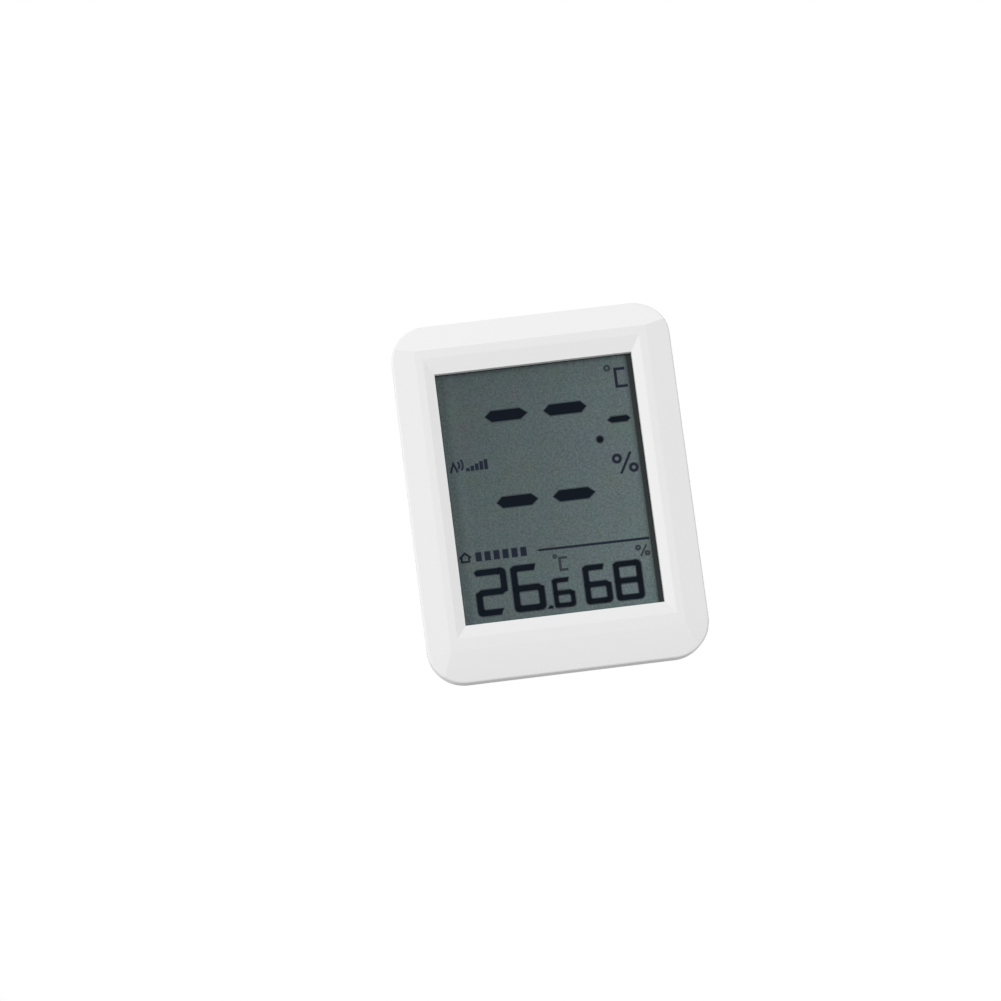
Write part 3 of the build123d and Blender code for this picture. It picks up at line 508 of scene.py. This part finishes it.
# Unit signs: a degree ring with a squared letter, and a percent sign of two rings and a slash, each in a
# large and a small size.
large_letter = stroke([(19.75, 64.5), (17.65, 64.5), (17.65, 60.62), (20.0, 60.62)], 0.5)
large_slash = stroke([(18.62, 45.95), (16.1, 41.45)], 0.42)
large_rings = [((15.55, 44.8), 2.05, 0.5), ((18.97, 42.5), 1.95, 0.48)]
segments("large_unit_signs", [large_letter, large_slash], large_rings, segment_mid, 0.14)
small_letter = stroke([(1.95, 24.7), (0.35, 24.7), (0.35, 22.1), (1.95, 22.1)], 0.42)
small_slash = stroke([(19.4, 25.35), (17.95, 23.05)], 0.26)
small_rings = [((15.97, 64.92), 1.35, 0.3), ((-0.6, 25.15), 0.85, 0.22), ((17.55, 24.9), 1.1, 0.3),
               ((19.42, 23.55), 1.05, 0.3)]
segments("small_unit_signs", [small_letter, small_slash], small_rings, segment_faint, 0.12)

# Place marks: in the two rows where such a display says which reading is which, a plain mast with waves and
# rising bars stands for outside, and a plain house with level blocks for inside.
mast_foot, mast_width, bar_width, block_width = 45.95, 0.32, 0.7, 1.2
mast = [stroke([(-20.6, mast_foot), (-19.85, 47.9), (-19.1, mast_foot)], mast_width)]
waves = [stroke(arc((-19.85, 47.4), radius, -35, 35, 9), 0.3) for radius in (1.25, 2.0)]
bars = [[(x, mast_foot), (x, mast_foot + rise), (x + bar_width, mast_foot + rise), (x + bar_width, mast_foot)]
        for x, rise in zip(np.arange(5) * 1.0 - 17.2, (0.6, 1.0, 1.4, 1.8, 2.1))]
house = [stroke([(-21.0, 27.1), (-19.8, 28.1), (-18.6, 27.1)], 0.32),
         stroke([(-20.6, 27.15), (-20.6, 26.25), (-19.0, 26.25), (-19.0, 27.15)], 0.3)]
blocks = [[(x, 26.1), (x, 28.0), (x + block_width, 28.0), (x + block_width, 26.1)]
          for x in np.arange(6) * 1.95 - 17.5]
segments("outdoor_mark", [*mast, *waves, *bars], material=segment_mid, reach=0.15)
segments("indoor_mark", [*house, *blocks], material=segment_mid, reach=0.15)

# Display stack behind the film: two panes of glass, a silvery reflector and a black moulded holder that
# presses them forward. The connector under them is a strip of pale rubber with thin upright layers of black
# conducting rubber, a quarter of a millimetre apart, squeezed between the glass and the board.
clear_glass = finish("clear_glass", srgb(236, 245, 240), 0.06, grain=400.0, depth=0.001,
                     Transmission_Weight=0.9, IOR=1.52)
dress(clear_glass, "lcd_front_glass", "lcd_rear_glass")
reflector_film = finish("reflector_film", srgb(200, 205, 200), 0.35, grain=5000.0, Metallic=0.8)
dress(reflector_film, "lcd_reflector")
holder_plastic = finish("holder_plastic", srgb(40, 40, 40), 0.5)
dress(holder_plastic, "lcd_holder")
connector_rubber = finish("connector_rubber", srgb(188, 186, 180), 0.7, grain=4000.0)
tree = connector_rubber.node_tree
spot = node(tree, "ShaderNodeTexCoord").outputs["Object"]
layers = node(tree, "ShaderNodeTexWave", {"bands_direction": "X"}, Vector=spot, Scale=1250.0)
rubber_colour, rubber = base_colour(connector_rubber)
tree.links.new(mixed_colour(tree, layers.outputs["Fac"], rubber, srgb(38, 38, 40)), rubber_colour)
dress(connector_rubber, "zebra_strip")


# Circuit board: glass fibre board in green solder mask, screwed to the front frame. The copper tracks etched
# on its back face show as slightly raised, lighter strips.
def middle(name):
    """The middle of a CAD node, in millimetres."""
    return sum(extent(name)) / 2


def row(name, count, half):
    """The middles along X of a node's equal parts, which are evenly spaced and reach a half to both sides."""
    low, high = extent(name)
    return np.linspace(low[0] + half, high[0] - half, count)


board_back = extent("main_board")[1][1]
board_mask = finish("board_mask", srgb(30, 98, 58), 0.3, grain=700.0, depth=0.015, shade=0.8)
dress(board_mask, "main_board", "receiver_board")
track_mask = finish("track_mask", srgb(52, 126, 78), 0.3, grain=700.0, depth=0.015, shade=0.85)
track_width, track_proud, track_sunk, track_bevel, track_start = 0.32, 0.035, 0.02, 0.03, 0.3
resin_x, resin_z = middle("controller_blob")[[0, 2]]
chip_row, pin_row = middle("chip_resistors")[2], middle("receiver_pins")[2]
chip_half, pin_half = 0.8, 0.3
chips, pins = row("chip_resistors", 8, chip_half), row("receiver_pins", 4, pin_half)

# Routes of the tracks: a fan from the controller to the resistors, four from there round to the switches,
# three down to the capacitor, and four from the receiver's pins to the controller.
tracks = []
for x in chips:
    near_x = resin_x + x * 0.45
    tracks.append([(near_x, 22.5), (near_x, 25.0), (x, 26.4), (x, chip_row - track_start)])
for step, (x, goal) in enumerate(zip(chips[:3:-1], (17.4, 12.6, 2.4, -2.4))):
    out_z, side_x, back_z = 29.0 + step * 0.55, 18.2 - step * 0.6, 56.2 - step * 0.5
    tracks.append([(x, chip_row + track_start), (x, out_z), (side_x, out_z), (side_x, back_z), (goal, back_z),
                   (goal, 57.9)])
for step in range(3):
    near, bend_x = (-4.9 - step * 0.5, 17.6 + step), -6.0 - step * 0.7
    tracks.append([near, (bend_x, 16.4 + step * 0.8), (bend_x, 12.0 + step * 1.5)])
for step, x in enumerate(pins):
    low_z, near_x = 15.8 - step * 0.7, 4.8 - step * 0.7
    tracks.append([(x, pin_row), (x, low_z), (near_x, low_z), (1.6 - step * 0.5, 17.4)])
section = (track_proud, track_sunk, track_bevel, board_back, 1)
strips = [plate(stroke(line, track_width), *section) for line in tracks]
piece("board_tracks", strips, track_mask)


# Solder joints: bright drops of tin alloy, melted on where leads, pins and contact tails meet the boards.
# Each is a low dome that rises from the copper round its lead.
def lathe(along, radius, origin, axis, sides=48):
    """Rings about an axis. The distance along it and the radius are given ring by ring, or ring by ring and
    side by side as arrays, so that a surface can also change around the axis. All are in millimetres."""
    axis = Vector(axis).normalized()
    across = axis.orthogonal().normalized()
    turned = axis.cross(across)
    angle = np.linspace(0, 2 * np.pi, sides, endpoint=False)
    along, radius = [np.asarray(values, float) for values in (along, radius)]
    along, radius = [values[:, None] if values.ndim == 1 else values for values in (along, radius)]
    along, radius = np.broadcast_arrays(along, radius + 0 * angle)
    spoke = np.cos(angle)[:, None] * np.array(across) + np.sin(angle)[:, None] * np.array(turned)
    return skin(np.array(origin) + along[..., None] * np.array(axis) + radius[..., None] * spoke)


dome_sunk, backwards = 0.05, (0, 1, 0)


def dome(x, y, z, radius, rise):
    """A rounded drop on a back-facing surface: a quarter of an ellipse, turned about Y from foot to crown."""
    lift = np.linspace(0, 1, 7)
    return lathe(lift * rise - dome_sunk, radius * np.sqrt(1 - (lift * 0.99) ** 2), (x, y, z), backwards, 20)


receiver_back = extent("receiver_board")[1][1]
pad_x, pad_z = 21.4, middle("receiver_board")[2]
bead_x, bead_z = middle("thermistor")[[0, 2]]
bead_lead_gap, crystal_lead_gap, lead_reach = 0.65, 0.4, 1.5
crystal_x, crystal_y, crystal_low = *middle("crystal_can")[:2], extent("crystal_can")[0][2]
lower_z, upper_z = middle("battery_lower")[2], middle("battery_upper")[2]
tails = ((-24.1, lower_z), (24.1, lower_z), (24.4, upper_z))
solder = finish("solder", srgb(200, 202, 204), 0.25, grain=900.0, depth=0.006, shade=0.85, Metallic=1.0)

# Each drop's radius and rise.
bead_drop, crystal_drop, pin_drop = (0.5, 0.45), (0.38, 0.35), (0.75, 0.42)
pad_drop, tail_drop = (0.6, 0.3), (0.95, 0.6)
drops = []
for side in (-1, 1):
    drops.append(dome(bead_x, board_back, bead_z + side * bead_lead_gap, *bead_drop))
for side in (-1, 1):
    x, z = crystal_x + side * crystal_lead_gap, crystal_low - lead_reach
    drops.append(dome(x, board_back, z, *crystal_drop))
drops += [dome(x, receiver_back, pin_row, *pin_drop) for x in pins]
drops += [dome(pad_x, receiver_back, pad_z, *pad_drop)]
drops += [dome(x, board_back, z, *tail_drop) for x, z in tails]
piece("solder_joints", drops, solder, smooth=True)

# Controller: a bare chip glued to the board under a drop of black resin, which flows a little before it sets
# and so isn't quite round. The drop is the cap of a ball, with three slight lobes.
black_resin = finish("black_resin", srgb(24, 24, 25), 0.2, grain=300.0, depth=0.02)
resin_radius = extent("controller_blob")[1][0] - resin_x
resin_height, lobe_share, resin_sides = 1.3, 0.015, 64
ball = (resin_radius**2 + resin_height**2) / (2 * resin_height)
reach = np.linspace(1, 0.01, 16)
angle = np.linspace(0, 2 * np.pi, resin_sides, endpoint=False)
wobble = 1 - lobe_share * (1 + np.sin(3 * angle + 0.7))
rise = np.sqrt(ball**2 - (resin_radius * reach) ** 2) - (ball - resin_height)
rings = reach[:, None] * resin_radius * wobble
resin_drop = lathe(rise, rings, (resin_x, board_back, resin_z), backwards, resin_sides)
piece("controller_drop", [resin_drop], black_resin, stands_for="controller_blob", smooth=True)


# Chip resistors: small blocks of dark ceramic, soldered flat on the board in a row. A tinned cap is folded
# over each end of a block.
def block(x, z, wide, high, level, rise, deep=0.0):
    """A small rectangular block on a back-facing surface, with softened edges at its face."""
    outline = [(x + a * wide / 2, z + b * high / 2) for a, b in square_corners]
    return plate(outline, rise, deep, block_bevel, level, 1)


switch_plastic = finish("switch_plastic", srgb(48, 48, 49), 0.45)
dress(switch_plastic, "tact_switches", "chip_resistors")
dress(switch_plastic, "switch_plunger_left", "switch_plunger_middle", "switch_plunger_right")
block_bevel, cap_offset, cap_wide, cap_high, cap_rise = 0.03, 0.66, 0.34, 0.86, 0.53
ends = [x + side * cap_offset for x in chips for side in (-1, 1)]
caps = [block(x, chip_row, cap_wide, cap_high, board_back, cap_rise) for x in ends]
piece("resistor_caps", caps, solder)

# Push switches: one under each button, in a black moulded body. A steel plate with a round hole is pressed
# over the body, and four legs come out of its sides and are bent flat onto the board.
plated_steel = finish("plated_steel", srgb(196, 196, 197), 0.3, grain=1500.0, depth=0.003, shade=0.85,
                      Metallic=1.0)
switch_back = extent("tact_switches")[1][1]
cover_half, cover_corner, cover_hole, cover_bevel, cover_sides = 2.8, 3.5, 1.9, 0.03, 64
cover_levels = [switch_back + rise for rise in (-0.02, 0.13, 0.15, 0.15, 0.13, -0.02)]
angle = np.linspace(0, -2 * np.pi, cover_sides, endpoint=False)
spoke = np.stack([np.cos(angle), np.sin(angle)], axis=1)
square = np.minimum(cover_half / abs(spoke).max(axis=1), cover_corner)[:, None]
cover_radii = (square, square, square - cover_bevel, cover_hole + cover_bevel, cover_hole, cover_hole)
leg_z, leg_high, foot_x, foot_wide, foot_rise = 2.25, 0.7, 3.4, 0.9, 0.2
shin_x, shin_wide, shin_rise = 3.06, 0.16, 2.4
covers, legs = [], []
for name in button_names:
    x, z = middle(name)[[0, 2]]
    rings = [upright((x, z) + radius * spoke, level) for level, radius in zip(cover_levels, cover_radii)]
    covers.append(skin(np.stack(rings), closed=True))
    for side in (-1, 1):
        for out, wide, rise in ((foot_x, foot_wide, foot_rise), (shin_x, shin_wide, shin_rise)):
            for end in (-1, 1):
                legs.append(block(x + side * out, z + end * leg_z, wide, leg_high, board_back, rise))
piece("switch_covers", covers, plated_steel, smooth=True)
piece("switch_legs", legs, solder)

# Filter capacitor: an aluminium can in a shrunk plastic sleeve, soldered upright to the board. The can is
# rolled in near its foot, and its top has a scored vent in the shape of a cross.
sleeve_film = finish("sleeve_film", srgb(38, 44, 74), 0.3, grain=900.0)
can_x, can_z = middle("filter_capacitor")[[0, 2]]
can_place = (can_x, board_back, can_z)
can_heights = (0.0, 0.2, 0.9, 1.1, 1.4, 1.6, 6.7, 6.9, 6.92)
can_radii = (2.3, 2.48, 2.5, 2.34, 2.34, 2.5, 2.5, 2.3, 2.12)
sleeve = lathe(can_heights, can_radii, can_place, backwards)
piece("capacitor_sleeve", [sleeve], sleeve_film, stands_for="filter_capacitor", smooth=True)
top_heights, top_radii = (6.0, 6.9, 6.94), (2.1, 2.1, 2.04)
top_level, score_long, score_wide, score_rise = board_back + top_heights[-1], 2.6, 0.16, 0.05
scores = [block(can_x, can_z, score_long, score_wide, top_level, score_rise),
          block(can_x, can_z, score_wide, score_long, top_level, score_rise)]
can_top = lathe(top_heights, top_radii, can_place, backwards)
piece("capacitor_top", [can_top, *scores], plated_steel, smooth=True)


# Crystal: a drawn steel can, crimped over a flanged base. It lies along the board, with its two leads bent
# down into their holes.
def tube(path, radius, reference, sides=12):
    """A round wire: a circle square to the path at each point. The reference direction is never along the
    wire, and sets how its rings are turned."""
    path = np.array(path, float)
    along = np.gradient(path, axis=0)
    along /= np.linalg.norm(along, axis=1)[:, None]
    side = np.array(reference, float) - (along @ np.array(reference, float))[:, None] * along
    side /= np.linalg.norm(side, axis=1)[:, None]
    other = np.cross(along, side)
    turn = np.linspace(0, 2 * np.pi, sides, endpoint=False)[None, :, None]
    return skin(path[:, None] + radius * (np.cos(turn) * side[:, None] + np.sin(turn) * other[:, None]))


sideward, upward = (1, 0, 0), (0, 0, 1)
shell_end, shell_radius, shell_round = 5.6, 0.48, 0.4
round_off = np.radians(np.linspace(0, 88, 7))
shell_along = [0, 0, 0.25, 0.3, 0.45, *(shell_end + shell_round * np.sin(round_off))]
shell_radii = [0.5, 1.0, 1.0, 0.9, 0.88, *(shell_radius + shell_round * np.cos(round_off))]
shell = lathe(shell_along, shell_radii, (crystal_x, crystal_y, crystal_low), upward, 40)

# Bends of a lead, each a height from the can's foot and a depth from its middle.
lead_bends = ((0.3, 0.0), (-0.9, 0.0), (-1.3, -0.2), (-lead_reach, -0.6), (-lead_reach, -1.05))
lead_sides, crystal_lead_radius, bead_lead_radius = 8, 0.16, 0.22
crystal_parts = [shell]
for side in (-1, 1):
    x = crystal_x + side * crystal_lead_gap
    lead_path = [(x, crystal_y + drop, crystal_low + out) for out, drop in lead_bends]
    crystal_parts.append(tube(lead_path, crystal_lead_radius, sideward, lead_sides))
piece("crystal_shell", crystal_parts, plated_steel, stands_for="crystal_can", smooth=True)

# Thermistor: a ball of dark epoxy resin, dipped over the sensing chip. Two thin tinned leads hold it off the
# board, behind the vent.
bead_radius = extent("thermistor")[1][0] - bead_x
bead_y = extent("thermistor")[1][1] - bead_radius
swell = np.radians(np.linspace(-88, 88, 17))
bead_place = (bead_x, bead_y, bead_z)
bead = lathe(bead_radius * np.sin(swell), bead_radius * np.cos(swell), bead_place, backwards, 32)
piece("thermistor_bead", [bead], black_resin, stands_for="thermistor", smooth=True)

# Bends of a lead, each a depth and a share of the gap from the bead's middle.
lead_bends = ((board_back - dome_sunk, 1), (-1.2, 1), (-0.6, 0.9), (0.2, 0.7))
leads = []
for side in (-1, 1):
    lead_path = [(bead_x, y, bead_z + side * bead_lead_gap * spread) for y, spread in lead_bends]
    leads.append(tube(lead_path, bead_lead_radius, sideward, lead_sides))
piece("thermistor_leads", leads, solder, smooth=True)

# Humidity sensor: a white moulded housing with slots, which lets the air reach the sensing film inside. It is
# soldered to the board behind the vent, and has its shape from the CAD.
sensor_plastic = finish("sensor_plastic", srgb(225, 226, 222), 0.5)
dress(sensor_plastic, "humidity_sensor")

# Antenna: a stiff copper wire in a dark sleeve, soldered to the receiver's edge. It runs up inside the case's
# side and across the top, with one bend at its start and a wider one in the corner.
wire_sleeve = finish("wire_sleeve", srgb(40, 40, 42), 0.4, grain=1800.0)
wire_side, wire_top, wire_end, near_bend, far_bend, wire_radius = 26.85, 66.8, -8.0, 3.5, 5.0, 0.5
wire_y, receiver_edge = middle("receiver_board")[1], extent("receiver_board")[1][0]
first_bend = arc((wire_side - near_bend, pad_z + near_bend), near_bend, -90, 0, 13)
second_bend = arc((wire_side - far_bend, wire_top - far_bend), far_bend, 0, 90, 15)
wire_path = np.vstack([(receiver_edge, pad_z), first_bend, second_bend, (wire_end, wire_top)])
antenna = tube(upright(wire_path, wire_y), wire_radius, backwards, 16)
piece("antenna_sleeve", [antenna], wire_sleeve, stands_for="antenna_wire", smooth=True)

# Screws: zinc-plated steel, with a pan head, a cross recess and a rolled thread that cuts its way into the
# plastic. Four hold the rear case to the front frame, and four shorter ones hold the board.
thread_pitch, thread_sides, thread_steps, run_out, shank_sunk = 0.75, 24, 9, 0.4, 0.3
taper, tip_share, bare_share, ridge_gain, ridge_loss = 0.9, 0.25, 0.72, 1.5, 0.35
head_facets, head_drop, rim_rise, rim_share, neck_share = 80, 0.45, 0.08, 0.97, 0.3
recess_depth, arm_half, arm_wall, arm_share, arm_end = 0.75, 0.36, 0.12, 0.62, 0.15


def screw(x, z, tip, seat, crown, shank, head):
    """A screw along Y from its tip to its crown. The shank's radius is a triangle wave of the distance along
    less the turn round, which winds the thread, and tapers at the tip. The head's top is a parabola, cut by
    two crossed arms with sloping walls."""
    length = seat - tip
    along = np.linspace(0, length + shank_sunk, int(length / thread_pitch * thread_steps))[:, None]
    turn = np.linspace(0, 1, thread_sides, endpoint=False)[None, :]
    phase = np.abs((along / thread_pitch - turn) % 1 - 0.5) * 2
    ridge = np.clip(ridge_gain * (1 - phase) - ridge_loss, 0, 1) * np.clip((length - along) / run_out, 0, 1)
    slim = np.clip(tip_share + along / taper, 0, 1)
    radius = shank * slim * (bare_share + (1 - bare_share) * ridge)
    body = lathe(along + 0 * turn, radius, (x, tip, z), backwards, thread_sides)
    spin = np.linspace(0, 2 * np.pi, head_facets, endpoint=False)[None, :]
    reach = np.linspace(1, 0.01, 22)[:, None] * head
    arm = np.stack([abs(reach * np.cos(spin)), abs(reach * np.sin(spin))])
    across, outward = arm.min(axis=0), arm.max(axis=0)
    inside = np.clip((arm_half - across) / arm_wall, 0, 1)
    inside = inside * np.clip((arm_share * head - outward) / arm_end, 0, 1)
    top = crown - head_drop * (reach / head) ** 2 - inside * recess_depth * (1 - 0.5 * outward / head)
    low = np.array([[seat], [seat], [seat + rim_rise]]) + 0 * spin
    side = head * np.array([[neck_share], [rim_share], [1]]) + 0 * spin
    heights, radii = np.vstack([low, top]) - seat, np.vstack([side, reach + 0 * spin])
    return [body, lathe(heights, radii, (x, seat, z), backwards, head_facets)]


head_radius = 2.0
screw_values = {"case_screw": ((6.0, 72.8), -0.6, 1.1), "board_screw": ((5.2, 73.6), board_back, 0.95)}
for name, (heights, seat, shank) in screw_values.items():
    low, high = extent(name + "s")
    places = [(side * (high[0] - head_radius), z) for z in heights for side in (-1, 1)]
    screws = [part for x, z in places for part in screw(x, z, low[1], seat, high[1], shank, head_radius)]
    piece(name + "_set", screws, plated_steel, stands_for=name + "s", smooth=True)
dress(plated_steel, "receiver_pins", "bridge_contact", "positive_contact", "negative_contact")

# Springs: nickel-plated steel wire wound on a cone, one for each cell. The wide turn bears on the wall of the
# bay, and the narrow one on the cell's flat end.
nickel = finish("nickel", srgb(219, 216, 210), 0.2, grain=1500.0, depth=0.002, Metallic=1.0)
cell_y = middle("battery_lower")[1]
wide_turn, narrow_turn, spring_wall, spring_length, spring_turns, spring_wire = 3.6, 2.4, 24.1, 3.1, 3, 0.3
flat_turn = 0.4


def spring(side, z):
    """A conical coil along X, from the wall to the cell: its climb is flat for part of a turn at each end."""
    turns = np.linspace(0, spring_turns, 121)
    climb = np.clip((turns - flat_turn) / (spring_turns - 2 * flat_turn), 0, 1)
    radius = wide_turn - (wide_turn - narrow_turn) * turns / spring_turns
    x = side * (spring_wall - spring_length * climb)
    y, z = cell_y + radius * np.cos(turns * 2 * np.pi), z + radius * np.sin(turns * 2 * np.pi)
    return tube(np.column_stack([x, y, z]), spring_wire, sideward)


coils = [spring(-1, lower_z), spring(1, upper_z)]
piece("cell_springs", coils, nickel, stands_for="battery_springs", smooth=True)

# Cells: two steel cans, side by side and pointing opposite ways, each held by its spring. A printed film is
# shrunk round each, with a pale band and a thin pale line at the flat end, a minus sign beside the line and
# a plus sign near the raised end.
cell_sleeve = finish("cell_sleeve", srgb(34, 104, 116), 0.28, grain=2500.0, depth=0.003)
tree = cell_sleeve.node_tree
print_place = node(tree, "ShaderNodeAttribute", {"attribute_name": "along"})
bands = ramp(tree, print_place.outputs["Fac"], ((0.0, 1), (0.2, 0), (0.225, 1), (0.24, 0)))
bands.color_ramp.interpolation = "CONSTANT"
sleeve_colour, sleeve_green = base_colour(cell_sleeve)
tree.links.new(mixed_colour(tree, bands.outputs["Color"], sleeve_green, srgb(214, 218, 218)), sleeve_colour)
sign_ink = finish("sign_ink", srgb(232, 234, 234), 0.35, grain=3000.0, depth=0.002)
cell_flat, cell_nub = extent("battery_lower")[0][0], extent("battery_lower")[1][0]
cell_radius, cell_length = extent("battery_lower")[1][2] - lower_z, cell_nub - cell_flat
film_along = np.array([0.15, 0.03, 0.0, 0.12, 0.4, 43.1, 43.38, 43.5, 43.47, 43.35])
film_radii = (4.5, 4.55, 4.7, 5.06, cell_radius, cell_radius, 5.06, 4.7, 4.55, 4.5)
flat_along, flat_radii = (0.02, 0.02, 0.01, 0.01, 0.06, 0.5), (0.05, 3.0, 3.12, 4.3, 4.45, 4.45)
nub_along = (43.0, 43.4, 43.42, 43.42, 43.36, 43.36, 43.45, 44.3, 44.45, cell_length, cell_length)
nub_radii = (4.45, 4.45, 4.3, 2.3, 2.2, 1.95, 1.9, 1.9, 1.8, 1.6, 0.05)
film_sides, end_sides = 96, 64
plus_x, minus_x, sign_reach, sign_half, sign_proud, sign_sunk = 18.6, -8.0, 1.4, 0.3, 0.02, 0.03


def wrapped(x, half, z, low, high):
    """A printed bar on a cell's back, carried round the cell from one arc length to another."""
    turn = np.linspace(low, high, 9) / cell_radius
    section = ((x - half, -sign_sunk), (x + half, -sign_sunk), (x + half, sign_proud), (x - half, sign_proud))
    rings = [[(across, cell_y + (cell_radius + lift) * np.cos(t), z + (cell_radius + lift) * np.sin(t))
              for across, lift in section] for t in turn]
    return skin(np.array(rings))


for name, side, z in (("lower", 1, lower_z), ("upper", -1, upper_z)):
    origin, axis = (side * cell_flat, cell_y, z), (side, 0, 0)
    film = lathe(film_along, film_radii, origin, axis, film_sides)
    sleeve = piece(f"cell_{name}_sleeve", [film], cell_sleeve,
                   stands_for=f"battery_{name}", smooth=True)
    place = sleeve.data.attributes.new("along", "FLOAT", "POINT")
    place.data.foreach_set("value", np.repeat(film_along / cell_length, film_sides).astype(np.float32))
    flat_end = lathe(flat_along, flat_radii, origin, axis, end_sides)
    nub_end = lathe(nub_along, nub_radii, origin, axis, end_sides)
    piece(f"cell_{name}_ends", [flat_end, nub_end], plated_steel, smooth=True)
    plus, minus = side * plus_x, side * minus_x
    bars = [wrapped(plus, sign_reach, z, -sign_half, sign_half),
            wrapped(plus, sign_half, z, sign_half, sign_reach),
            wrapped(plus, sign_half, z, -sign_reach, -sign_half),
            wrapped(minus, sign_half, z, -sign_reach, sign_reach)]
    piece(f"cell_{name}_signs", bars, sign_ink, smooth=True)

# Raised marks of the moulding, in the same white plastic: an arrow head up, a ring and an arrow head down
# on the button caps, and a cross and a bar on the bay's floor beside each cell, so that the cells go in the
# right way round.
cap_back, mark_proud, mark_sunk, mark_bevel = extent("button_middle")[1][1], 0.14, 0.05, 0.08
arrow = [(-0.95, -0.55), (0.95, -0.55), (0.0, 0.75)]
for name, tip in (("button_left", 1), ("button_right", -1)):
    x, z = middle(name)[[0, 2]]
    outline = [(x + a, z + b * tip) for a, b in arrow]
    mark = plate(outline, mark_proud, mark_sunk, mark_bevel, cap_back, 1)
    piece(name + "_mark", [mark], white_plastic, name)
ring_mark = hoop(middle("button_middle")[[0, 2]], 1.8, 0.4, mark_proud, mark_sunk, cap_back, 1)
piece("button_middle_mark", [ring_mark], white_plastic, "button_middle")

floor_back, sign_rise, sign_x, sign_out = -1.9, 0.25, 19.5, 4.2
bar_long, bar_wide, stub_long, stub_z = 2.0, 0.5, 0.74, 0.62
signs = []
for side, z in ((1, lower_z - sign_out), (-1, upper_z + sign_out)):
    for x in (side * sign_x, -side * sign_x):
        signs.append(block(x, z, bar_long, bar_wide, floor_back, sign_rise, mark_sunk))
    for stub in (z - stub_z, z + stub_z):
        signs.append(block(side * sign_x, stub, bar_wide, stub_long, floor_back, sign_rise, mark_sunk))
piece("bay_signs", signs, white_plastic)
